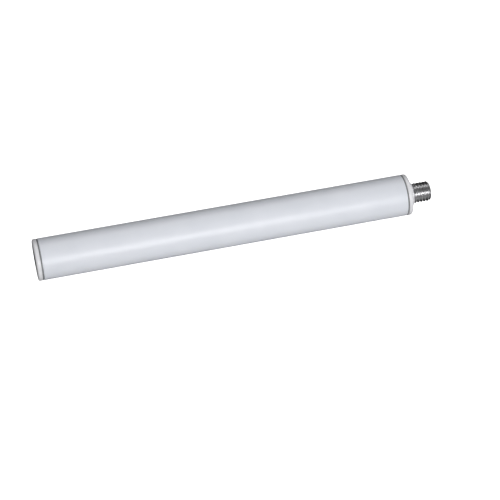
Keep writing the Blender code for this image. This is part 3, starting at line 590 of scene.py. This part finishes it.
def cut_cap_openings(cap, end):
    """Countersunk screw holes, pilot holes for the ears and the notch for the LED board."""
    head = SCREW_HEAD_RADIUS + 0.15 * MM
    land = 0.25 * MM
    for node in cap_screw_nodes(end):
        profile = [(-BEYOND, 0.0), (-BEYOND, head + BEYOND + 0.1 * MM), (0.1 * MM, head), (land, head),
                   (land + head - SCREW_HOLE_RADIUS, SCREW_HOLE_RADIUS),
                   (CAP_FACE_WALL + BEYOND, SCREW_HOLE_RADIUS), (CAP_FACE_WALL + BEYOND, 0.0)]
        profile = [(end.x(inward), radius) for inward, radius in profile]
        combine(cap, turned("hole", profile, None, 48, node_axis(node)), "DIFFERENCE")
    for y in (-EAR_SCREW_Y, EAR_SCREW_Y):
        profile = [(end.x(PILOT_START), 0.0), (end.x(PILOT_START), SCREW_HOLE_RADIUS),
                   (end.x(CAP_FACE_WALL + BEYOND), SCREW_HOLE_RADIUS),
                   (end.x(CAP_FACE_WALL + BEYOND), 0.0)]
        combine(cap, turned("pilot", profile, None, 32, (y, 0.0)), "DIFFERENCE")
    low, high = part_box("led_board")
    seat = SEAM_WIDTH + CAP_BAND
    xs = sorted((end.x(seat), end.x(SPIGOT_LENGTH + BEYOND)))
    notch = soft_box("notch", (xs[0], low.y - 2 * GAP, low.z - CUT_SLACK),
                     (xs[1], high.y + 2 * GAP, TUBE_RADIUS + BEYOND), None)
    combine(cap, notch, "DIFFERENCE")


def make_stud_cap(paints):
    profile = cap_profile(STUD_END, STUD_RADIUS + 0.3 * MM, SHOULDER_HEIGHT)
    cap = turned("stud_cap", profile, paints["white_cap"], 192, closed=True)
    cut_cap_openings(cap, STUD_END)
    return place(even_normals(cap), "stud_end_cap")


def make_socket_cap(paints):
    end = SOCKET_END
    profile = cap_profile(end, SOCKET_RADIUS + GAP, 0.0)
    cap = turned("socket_cap", profile, paints["white_cap"], 192, closed=True)
    cut_cap_openings(cap, end)

    low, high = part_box("usb_port_shell")
    middle = (low.z + high.z) / 2
    play = 0.3 * MM
    wide = high.y - low.y + play
    tall = high.z - low.z + play
    flare = 0.25 * MM
    mouth = ((-BEYOND, flare + BEYOND), (flare, 0.0), (high.x - end.x(0.0) + BEYOND, 0.0))
    sections = [(end.x(inward), stadium(wide + 2 * grow, tall + 2 * grow, middle)) for inward, grow in mouth]
    combine(cap, lofted("port_slot", sections, None), "DIFFERENCE")

    hole = 2.1 * MM
    profile = [(-BEYOND, 0.0), (-BEYOND, hole + flare + BEYOND), (flare, hole),
               (CAP_FACE_WALL + BEYOND, hole), (CAP_FACE_WALL + BEYOND, 0.0)]
    profile = [(end.x(inward), radius) for inward, radius in profile]
    center = node_axis("button_switch_plunger")
    combine(cap, turned("button_hole", profile, None, 64, center), "DIFFERENCE")

    low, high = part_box("driver_board")
    notch = soft_box("notch", (end.x(SEAM_WIDTH + CAP_BAND), low.y - CUT_SLACK, -TUBE_RADIUS),
                     (end.x(SPIGOT_LENGTH + BEYOND), high.y + CUT_SLACK, high.z + CUT_SLACK), None)
    combine(cap, notch, "DIFFERENCE")
    return place(even_normals(cap), "socket_end_cap")


# ---------------------------------------------------------------- stud and socket
def make_ears(end):
    """The bar whose two ends are screwed to the inside of a cap."""
    xs = sorted((end.x(CAP_FACE_WALL + GAP), end.x(CAP_FACE_WALL + GAP + EAR_THICKNESS)))
    ears = soft_box("ears", (xs[0], -EAR_REACH, -EAR_HALF_WIDTH), (xs[1], EAR_REACH, EAR_HALF_WIDTH), None,
                    0.25 * MM, 3)
    for y in (-EAR_SCREW_Y, EAR_SCREW_Y):
        profile = [(xs[0] - BEYOND, 0.0), (xs[0] - BEYOND, SCREW_HOLE_RADIUS),
                   (xs[1] + BEYOND, SCREW_HOLE_RADIUS), (xs[1] + BEYOND, 0.0)]
        combine(ears, turned("ear_hole", profile, None, 32, (y, 0.0)), "DIFFERENCE")
    return ears


def make_stud(paints):
    """Flange and ears behind the cap, a plain shank through it, and a rounded thread beyond it."""
    tip_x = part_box("threaded_stud")[1].x
    tip_chamfer = 1.3 * MM
    run_in_slope = 1.7
    neck_x = 0.75 * MM
    neck_radius = STUD_RADIUS - THREAD_DEPTH - 0.2 * MM
    shank_radius = STUD_RADIUS - JOIN_STEP
    back = STUD_END.x(CAP_FACE_WALL + GAP + EAR_THICKNESS + JOIN_STEP)
    front = STUD_END.x(CAP_FACE_WALL + GAP + JOIN_STEP)

    def relief(x, radius, angle):
        if x < neck_x:
            return radius
        run_in = neck_radius + (x - neck_x) * run_in_slope
        tip = STUD_RADIUS - tip_chamfer + (tip_x - x)
        return min(radius, run_in, tip, thread_radius(x, angle, 0.0, STUD_RADIUS))

    profile = rounded([(back, 0.0, 0), (back, SOCKET_RADIUS, 0.3 * MM), (front, SOCKET_RADIUS, 0.3 * MM),
                       (front, shank_radius, 0.1 * MM), (0.2 * MM, shank_radius, 0.15 * MM),
                       (neck_x, neck_radius, 0)])
    profile += [(x, STUD_RADIUS) for x in even_steps(neck_x, tip_x, 0.1 * MM)[1:]]
    drill = 1.3 * MM
    profile += rounded([(tip_x, STUD_RADIUS - 1.5 * tip_chamfer, 0), (tip_x, drill, 0.1 * MM),
                        (tip_x - 0.7 * drill, 0.0, 0)])
    stud = turned("steel_stud", profile, paints["steel"], 144, relief=relief)
    combine(stud, make_ears(STUD_END), "UNION")
    return place(even_normals(stud), "threaded_stud")


def make_socket(paints):
    """A blind insert: rim, lead-in cone, rounded thread and drilled floor, with ears behind the cap."""
    end = SOCKET_END
    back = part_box("threaded_socket")[1].x
    mouth = SOCKET_CREST + 0.5 * MM
    root = SOCKET_CREST - THREAD_DEPTH
    floor = SOCKET_RECESS + SOCKET_DEPTH
    first_x = end.x(0.0)

    def relief(x, radius, angle):
        inward = x - first_x
        if radius > SOCKET_CREST or inward > floor - JOIN_STEP:
            return radius
        lead_in = mouth - (inward - SOCKET_RECESS)
        return max(lead_in, thread_radius(x, angle, first_x, SOCKET_CREST))

    drill_point = 0.6 * MM
    lip_x = end.x(SOCKET_RECESS + 0.02 * MM)
    profile = [(end.x(floor + drill_point), 0.0), (end.x(floor), root * 0.9)]
    profile += [(x, root) for x in even_steps(end.x(floor - JOIN_STEP), lip_x, 0.12 * MM)]
    profile += rounded([(lip_x, mouth + 0.01 * MM, 0), (end.x(SOCKET_RECESS), mouth + 0.03 * MM, 0),
                        (end.x(SOCKET_RECESS), SOCKET_RADIUS, 0.1 * MM), (back, SOCKET_RADIUS, 0.4 * MM),
                        (back, 0.0, 0)])
    # its black colour is painted shade that darkens the hole, as shade in the deep recess would
    socket = turned("steel_socket", profile, paints["black_steel"], 144, relief=relief)

    ears = make_ears(end)  # the bar must not cross the bore, so it ends inside the insert's wall
    in_wall = (SOCKET_CREST + SOCKET_RADIUS) / 2
    bore = [(first_x, 0.0), (first_x, in_wall), (back, in_wall), (back, 0.0)]
    combine(ears, turned("ear_bore", bore, None, 96), "DIFFERENCE")
    combine(socket, ears, "UNION")
    return place(even_normals(socket), "threaded_socket")


# ---------------------------------------------------------------- screws
def hex_cutter(x_start, x_end, across, center):
    """Cutter for a hexagon socket whose rim is broken where it meets the head, at x_start."""
    def hexagon(width):
        radius = width / math.sqrt(3)
        return [(center[0] + radius * math.cos(math.radians(60 * i)),
                 center[1] + radius * math.sin(math.radians(60 * i))) for i in range(6)]

    way = 1 if x_end > x_start else -1
    flare = 0.08 * MM
    sections = [(x_start - way * BEYOND, hexagon(across + 2 * BEYOND)),
                (x_start, hexagon(across + 2 * flare)),
                (x_start + way * flare, hexagon(across)), (x_end, hexagon(across)),
                (x_end + way * 0.3 * across, hexagon(0.1 * across))]
    return lofted("hex_cutter", sections, None)


def screw_relief(first_x, last_x, pitch, depth):
    """Relief of a fine thread between two places along X, as turned() takes it."""
    def relief(x, radius, angle):
        if radius > SCREW_RADIUS + JOIN_STEP or not first_x < x < last_x:
            return radius
        phase = ((x - first_x) / pitch - angle / (2 * math.pi)) % 1.0
        return radius - depth * abs(2 * phase - 1)
    return relief


def make_screw(node, end, head, paints, countersunk):
    """A machine screw with its thread, along X, its head nearer the tube's middle unless countersunk."""
    low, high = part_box(node)
    center = node_axis(node)
    way = 1 if countersunk == (end is SOCKET_END) else -1
    top = low.x if way > 0 else high.x
    length = high.x - low.x
    rim = SCREW_HEAD_RADIUS
    shank = SCREW_RADIUS
    if countersunk:
        corners = [(0.0, 0.0, 0), (0.0, rim, 0.06 * MM), (head, rim, 0.06 * MM),
                   (head + rim - shank, shank, 0.1 * MM)]
        seat = head + rim - shank
    else:
        corners = [(0.0, 0.0, 0), (0.0, rim, 0.5 * head), (head, rim, 0.1 * MM), (head, shank, 0.1 * MM)]
        seat = head
    pitch = 0.4 * MM
    thread_depth = 0.2 * MM
    longest_thread = 12.0 * MM
    tip = 0.3 * MM
    run = min(length - seat - pitch, longest_thread)
    outline = rounded(corners + [(length - run, shank, 0)], steps=4)
    outline += [(inward, shank) for inward in even_steps(length - run, length - tip, pitch / 5)[1:]]
    outline += [(length, shank - tip), (length, 0.0)]
    profile = [(top + way * inward, radius) for inward, radius in outline]
    span = sorted((top + way * (length - run), top + way * (length - tip)))
    relief = screw_relief(span[0], span[1], pitch, thread_depth)
    screw = turned(f"{node}_threaded", profile, paints["zinc_screw"], 36, center, relief=relief)
    across = 1.3 * MM if countersunk else 1.5 * MM
    recess = 0.7 * MM
    combine(screw, hex_cutter(top, top + way * recess, across, center), "DIFFERENCE")
    place(even_normals(screw), node)


def make_screws(paints):
    for end, label in ((SOCKET_END, "socket"), (STUD_END, "stud")):
        for side in ("left", "right"):
            make_screw(f"{label}_cap_screw_{side}", end, COUNTERSUNK_LAND, paints, countersunk=True)
            make_screw(f"{label}_screw_{side}", end, PAN_HEAD_HEIGHT, paints, countersunk=False)


# ---------------------------------------------------------------- button and port
def make_button(paints):
    """Power button: a dished cap with a rounded rim, a skirt, a flange that keeps it in, and a stem."""
    low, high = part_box("power_button")
    center = node_axis("button_switch_plunger")
    radius = 1.9 * MM
    stem = 0.8 * MM
    flange_x = SOCKET_END.x(CAP_FACE_WALL + GAP)
    flange = 0.8 * MM
    dish = 0.12 * MM
    corners = [(low.x + dish, 0.0, 0), (low.x + 0.7 * dish, 0.6 * radius, 0.4 * radius),
               (low.x, 0.82 * radius, 0.1 * MM), (low.x + 0.05 * MM, radius, 0.2 * MM),
               (flange_x, radius, 0.1 * MM), (flange_x + flange / 2, stem, 0.1 * MM),
               (high.x, stem, 0.15 * MM), (high.x, 0.0, 0)]
    button = turned("dished_button", rounded(corners, steps=6), paints["grey_plastic"], 64, center)
    wide = (high.y - low.y) / 2
    bottom = 10.4 * MM
    top = 12.7 * MM
    bar = soft_box("flange", (flange_x, -wide, bottom), (flange_x + flange, wide, top), None, 0.15 * MM)
    combine(button, bar, "UNION")
    place(even_normals(button), "power_button", "button")


def make_port(paints):
    """USB-C shell with a rolled mouth, its tongue and the contact pads on both faces of the tongue."""
    low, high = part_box("usb_port_shell")
    middle = (low.z + high.z) / 2
    wide = high.y - low.y
    tall = high.z - low.z
    wall = 0.3 * MM
    roll = 0.09 * MM
    steps = ((high.x, roll), (high.x - roll, 0.0), (low.x + roll, 0.0), (low.x + 0.3 * roll, 0.3 * roll),
             (low.x, roll), (low.x, wall - roll), (low.x + 0.3 * roll, wall - 0.3 * roll),
             (low.x + roll, wall), (high.x - wall - roll, wall), (high.x - wall, wall + roll))
    sections = [(x, stadium(wide - 2 * inset, tall - 2 * inset, middle)) for x, inset in steps]
    place(even_normals(lofted("port_shell", sections, paints["nickel"])), "usb_port_shell")

    low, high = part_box("usb_port_tongue")
    thick = high.z - low.z
    sunk = 0.03 * MM
    tongue = soft_box("port_tongue", (low.x, low.y, low.z + sunk), (high.x, high.y, high.z - sunk),
                      paints["black_component"], 0.2 * thick)
    place(even_normals(tongue), "usb_port_tongue")
    pads_a_side = 12
    pad_pitch = 0.5 * MM
    pad = Vector((3.4, 0.26, 0.04)) * MM
    bm = bmesh.new()
    for face_z in (low.z + pad.z / 2, high.z - 1.5 * pad.z):
        for i in range(pads_a_side):
            y = (i - (pads_a_side - 1) / 2) * pad_pitch
            made = bmesh.ops.create_cube(bm, size=1.0)["verts"]
            bmesh.ops.scale(bm, verts=made, vec=pad)
            bmesh.ops.translate(bm, verts=made, vec=(low.x + 2.3 * MM, y, face_z + pad.z / 2))
    bmesh.ops.bevel(bm, geom=bm.edges, offset=0.01 * MM, segments=1, profile=0.5, affect="EDGES")
    pads = finish_mesh(bm, "port_contacts", paints["gold"])
    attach(pads, "tube")


# ---------------------------------------------------------------- inside the tube
def make_led_board(paints):
    """The board with its edges broken, and on it the packages, each with a sunken yellow window."""
    low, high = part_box("led_board")
    led_height = 0.8 * MM
    top = high.z - led_height
    board = soft_box("led_strip", low, (high.x, high.y, top), paints["led_board"], 0.12 * MM, 2)
    place(even_normals(board), "led_board")

    length = 3.5 * MM
    width = 2.8 * MM
    pitch = 10.0 * MM
    columns = 27
    row_y = 4.0 * MM
    first = SOCKET_END.x(19.0 * MM)
    frame_width = 0.35 * MM
    window_slope = 0.12 * MM
    window_depth = 0.15 * MM
    bm = bmesh.new()
    for column in range(columns):
        for y in (-row_y, row_y):
            made = bmesh.ops.create_cube(bm, size=1.0)["verts"]
            bmesh.ops.scale(bm, verts=made, vec=(length, width, led_height))
            bmesh.ops.translate(bm, verts=made, vec=(first + column * pitch, y, top + led_height / 2))
    bm.normal_update()
    upright = [e for e in bm.edges if abs(e.verts[0].co.z - e.verts[1].co.z) > led_height / 2]
    bmesh.ops.bevel(bm, geom=upright, offset=0.25 * MM, segments=3, profile=0.5, affect="EDGES")
    bm.normal_update()
    lids = [f for f in bm.faces if f.normal.z > 0.9]
    bmesh.ops.inset_individual(bm, faces=lids, thickness=frame_width)
    bmesh.ops.inset_individual(bm, faces=lids, thickness=window_slope, depth=-window_depth)
    for window in lids:
        window.material_index = 1
    chips = finish_mesh(bm, "led_packages", paints["led_body"])
    chips.data.materials.append(paints["phosphor"])
    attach(chips, "tube")


def make_cells(paints):
    """Wrapped cells: a crimped shoulder, the wrap folded over both ends, and a nickel button."""
    for node in ("battery_cell_a", "battery_cell_b"):
        low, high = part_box(node)
        radius = (high.z - low.z) / 2
        button = high.x - 1.5 * MM
        groove = button - 2.6 * MM
        corners = [(low.x + 0.15 * MM, 0.0, 0), (low.x + 0.15 * MM, 6.6 * MM, 0.05 * MM),
                   (low.x, 6.9 * MM, 0.1 * MM), (low.x, radius, 0.9 * MM),
                   (groove - 0.6 * MM, radius, 0.4 * MM), (groove, radius - 0.35 * MM, 0.5 * MM),
                   (groove + 0.6 * MM, radius, 0.4 * MM), (button, radius, 0.8 * MM),
                   (button, 6.4 * MM, 0.1 * MM), (button - 0.3 * MM, 6.1 * MM, 0.1 * MM),
                   (button - 0.3 * MM, 3.4 * MM, 0.2 * MM), (high.x, 2.9 * MM, 0.35 * MM), (high.x, 0.0, 0)]
        cell = turned(f"{node}_wrapped", rounded(corners), paints["battery_cell"], 96, node_axis(node))
        cell.data.materials.append(paints["nickel"])
        cell.data.materials.append(paints["insulator"])
        axis = Vector((0.0, *node_axis(node)))
        for face in cell.data.polygons:
            off = (face.center - axis).yz.length
            past_end = face.center.x - button
            bare_button = off < 3.5 * MM and past_end > -0.2 * MM
            bare_base = off < 6.7 * MM and past_end < -MM
            if bare_button or bare_base:
                face.material_index = 1
            elif off < 6.3 * MM and past_end > -MM:
                face.material_index = 2
        place(even_normals(cell), node)


def coil_points(x_start, x_end, turns, first_radius, last_radius, center, steps=24):
    """Points along a coil round a line along X through center, with steps points a turn."""
    points = []
    for i in range(turns * steps + 1):
        share = i / (turns * steps)
        angle = 2 * math.pi * turns * share
        radius = first_radius + (last_radius - first_radius) * share
        points.append((x_start + (x_end - x_start) * share, center[0] + radius * math.cos(angle),
                       center[1] + radius * math.sin(angle)))
    return points


def make_springs(paints):
    """The cone that presses on the cells, and the button's return spring."""
    low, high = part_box("battery_contact_negative")
    wire = 0.4 * MM
    center = (0.0, node_axis("battery_cell_a")[1])
    points = coil_points(low.x + wire, high.x - wire, 3, 5.0 * MM, 2.8 * MM, center)
    place(soft_wire("cell_spring", points, wire - 0.01 * MM, paints["nickel"]), "battery_contact_negative")

    low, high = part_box("button_spring")
    wire = 0.14 * MM
    coil = 1.25 * MM
    center = node_axis("button_switch_plunger")
    points = coil_points(low.x + wire, high.x - wire, 5, coil, coil, center)
    spring = soft_wire("return_spring", points, wire - 0.005 * MM, paints["steel"], 3)
    graph = bpy.context.evaluated_depsgraph_get()
    mesh = bpy.data.meshes.new_from_object(spring.evaluated_get(graph))
    mesh.materials.clear()
    mesh.materials.append(paints["steel"])
    bpy.data.objects.remove(spring)
    spring = bpy.data.objects.new("return_spring", mesh)
    bpy.context.scene.collection.objects.link(spring)
    place(spring, "button_spring")
    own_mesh(spring)


def make_components(paints):
    """The chip with its legs, the wound inductor and the capacitor on the driver board."""
    low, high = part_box("driver_chip")
    leg = 0.45 * MM
    body = soft_box("driver_package", (low.x, low.y + leg, low.z + 0.1 * MM), (high.x, high.y - leg, high.z),
                    paints["black_component"], 0.12 * MM)
    place(even_normals(body), "driver_chip")
    legs_a_side = 4
    # a leg's shoulder, riser and foot: how far out and how high its middle is, and its size, in mm
    bends = ((0.0, 0.5, (0.35, 0.4, 0.12)), (0.16, 0.28, (0.35, 0.12, 0.5)), (0.3, 0.06, (0.35, 0.3, 0.12)))
    bm = bmesh.new()
    for y in (low.y + leg, high.y - leg):
        side = 1 if y > (low.y + high.y) / 2 else -1
        for i in range(legs_a_side):
            x = low.x + (i + 0.5) * (high.x - low.x) / legs_a_side
            for out, up, size in bends:
                made = bmesh.ops.create_cube(bm, size=1.0)["verts"]
                bmesh.ops.scale(bm, verts=made, vec=Vector(size) * MM)
                bmesh.ops.translate(bm, verts=made, vec=(x, y + side * out * MM, low.z + up * MM))
    legs = finish_mesh(bm, "driver_legs", paints["nickel"])
    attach(legs, "tube")

    low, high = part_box("driver_inductor")
    block = soft_box("inductor_core", low, high, paints["black_component"], 0.7 * MM, 4)
    place(even_normals(block), "driver_inductor")

    low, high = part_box("driver_capacitor")
    center = (low + high) / 2
    radius = (high.y - low.y) / 2
    tall = high.z - low.z
    corners = [(0.0, 0.0, 0), (0.0, radius, 0.25 * MM), (0.9 * MM, radius, 0.2 * MM),
               (1.2 * MM, radius - 0.25 * MM, 0.15 * MM), (1.5 * MM, radius, 0.2 * MM),
               (tall, radius, 0.3 * MM), (tall, radius - 0.5 * MM, 0.05 * MM),
               (tall - 0.08 * MM, radius - 0.6 * MM, 0.05 * MM), (tall - 0.08 * MM, 0.0, 0)]
    can = turned("capacitor_can", rounded(corners), paints["aluminium"], 64)
    upright = Matrix.Translation((center.x, center.y, low.z)) @ Matrix.Rotation(-math.pi / 2, 4, "Y")
    can.data.transform(upright)
    place(even_normals(can), "driver_capacitor")


# ---------------------------------------------------------------- stage
def make_floor():
    """A plain, brightly lit white floor that the tube lies on, carried up into a backdrop all round."""
    paint = Paint("white_stage", (0.95, 0.95, 0.95), 0.9)
    paint.tint(paint.noise(0.4, 2), (0.94, 0.94, 0.94), (0.96, 0.96, 0.96))
    paint.set("Emission Color", (1.0, 1.0, 1.0, 1.0))
    paint.set("Emission Strength", 1.2)
    below = 0.5 * MM
    floor_reach = 6.0
    dome_radius = 5.9
    bm = bmesh.new()
    bmesh.ops.create_grid(bm, x_segments=8, y_segments=8, size=floor_reach)
    bmesh.ops.translate(bm, verts=bm.verts, vec=(TUBE_MIDDLE.x, 0, TUBE_LOW.z - below))
    floor = finish_mesh(bm, "floor", paint.material)
    bm = bmesh.new()
    bmesh.ops.create_uvsphere(bm, u_segments=64, v_segments=32, radius=dome_radius)
    dome = finish_mesh(bm, "backdrop", paint.material)
    for piece in (floor, dome):
        piece.visible_diffuse = False
        piece.visible_glossy = False
        piece.visible_transmission = False
        piece.visible_shadow = False


def facing_tube(elevation, distance, along=0.0):
    """Pose of a flat thing that faces the tube, at an elevation that runs over the top from -Y to +Y."""
    angle = math.radians(elevation)
    back = Vector((0.0, -math.cos(angle), math.sin(angle)))
    right = Vector((1.0, 0.0, 0.0))
    pose = Matrix((right, back.cross(right), back)).transposed().to_4x4()
    pose.translation = TUBE_MIDDLE + back * distance + right * along
    return pose


def facing_end(direction, distance):
    """Pose of a flat thing that faces the tube from any direction, such as one of its ends."""
    back = Vector(direction).normalized()
    pose = back.to_track_quat("Z", "Y").to_matrix().to_4x4()
    pose.translation = TUBE_MIDDLE + back * distance
    return pose


def softbox(name, pose, length, height, power, mirrored=True):
    """A rectangular light. One that isn't mirrored only lights, and never shows as a gleam."""
    light = bpy.data.lights.new(name, "AREA")
    light.shape = "RECTANGLE"
    light.size = length
    light.size_y = height
    light.energy = power
    made = bpy.data.objects.new(name, light)
    bpy.context.scene.collection.objects.link(made)
    made.matrix_world = pose
    made.visible_camera = False
    made.visible_glossy = mirrored


def black_flag(name, elevation, distance, length, height, paint):
    """A black card that darkens what the metal mirrors from that side, and nothing else."""
    bm = bmesh.new()
    bmesh.ops.create_grid(bm, x_segments=4, y_segments=4, size=0.5)
    bmesh.ops.scale(bm, verts=bm.verts, vec=(length, height, 1.0))
    flag = finish_mesh(bm, name, paint)
    flag.matrix_world = facing_tube(elevation, distance)
    flag.visible_camera = False
    flag.visible_diffuse = False
    flag.visible_transmission = False
    flag.visible_shadow = False


def make_lights():
    """An even dim surround, softboxes given by length, height and watts, and two flags for the steel."""
    world = bpy.data.worlds.new("studio")
    bpy.context.scene.world = world
    world.use_nodes = True
    background = world.node_tree.nodes["Background"]
    background.inputs["Color"].default_value = (1.0, 1.0, 1.0, 1.0)
    background.inputs["Strength"].default_value = 0.17
    softbox("key", facing_tube(28, 0.95, along=0.06), 0.7, 0.38, 6.5)
    softbox("fill", facing_tube(84, 1.2, along=-0.2), 0.6, 0.4, 0.9, mirrored=False)
    softbox("strip", facing_tube(117, 1.2), 1.4, 0.36, 3.4)
    softbox("bounce", facing_tube(-32, 1.2), 2.0, 0.9, 1.7)
    softbox("back_fill", facing_tube(222, 1.2), 1.6, 0.6, 8.5, mirrored=False)
    softbox("stud_end_fill", facing_end((1.0, 0.0, 0.0), 1.2), 0.3, 0.3, 3.0, mirrored=False)
    softbox("socket_end_fill", facing_end((-1.0, 0.0, 0.0), 1.2), 0.3, 0.3, 0.9, mirrored=False)
    flag_paint = Paint("black_flag", (0.01, 0.01, 0.01), 0.9).material
    black_flag("flag_behind", 172, 1.4, 4.0, 1.2, flag_paint)
    black_flag("flag_below", 245, 1.4, 4.0, 2.2, flag_paint)


def make_camera():
    """The camera, looking across the tube from above its -Y side."""
    level = math.cos(CAMERA_ELEVATION)
    back = Vector((math.sin(CAMERA_AZIMUTH) * level, -math.cos(CAMERA_AZIMUTH) * level,
                   math.sin(CAMERA_ELEVATION)))
    right = Vector((0, 0, 1)).cross(back).normalized()
    up = back.cross(right)
    lens = bpy.data.cameras.new("camera")
    lens.sensor_width = CAMERA_SENSOR
    lens.lens = CAMERA_LENS
    lens.clip_start = 0.01
    lens.clip_end = 50.0
    camera = bpy.data.objects.new("camera", lens)
    bpy.context.scene.collection.objects.link(camera)
    pose = Matrix((right, up, back)).transposed().to_4x4()
    pose.translation = TUBE_MIDDLE + back * CAMERA_DISTANCE + right * CAMERA_RIGHT + up * CAMERA_UP
    camera.matrix_world = pose
    bpy.context.scene.camera = camera


# ---------------------------------------------------------------- assembly
def main():
    make_camera()
    make_lights()
    bpy.context.scene.view_settings.view_transform = "Standard"
    paints = make_materials()
    make_floor()
    paint_nodes(paints)
    make_tube(paints)
    make_seals(paints)
    make_stud_cap(paints)
    make_socket_cap(paints)
    make_stud(paints)
    make_socket(paints)
    make_screws(paints)
    make_button(paints)
    make_port(paints)
    make_led_board(paints)
    make_cells(paints)
    make_springs(paints)
    make_components(paints)


main()
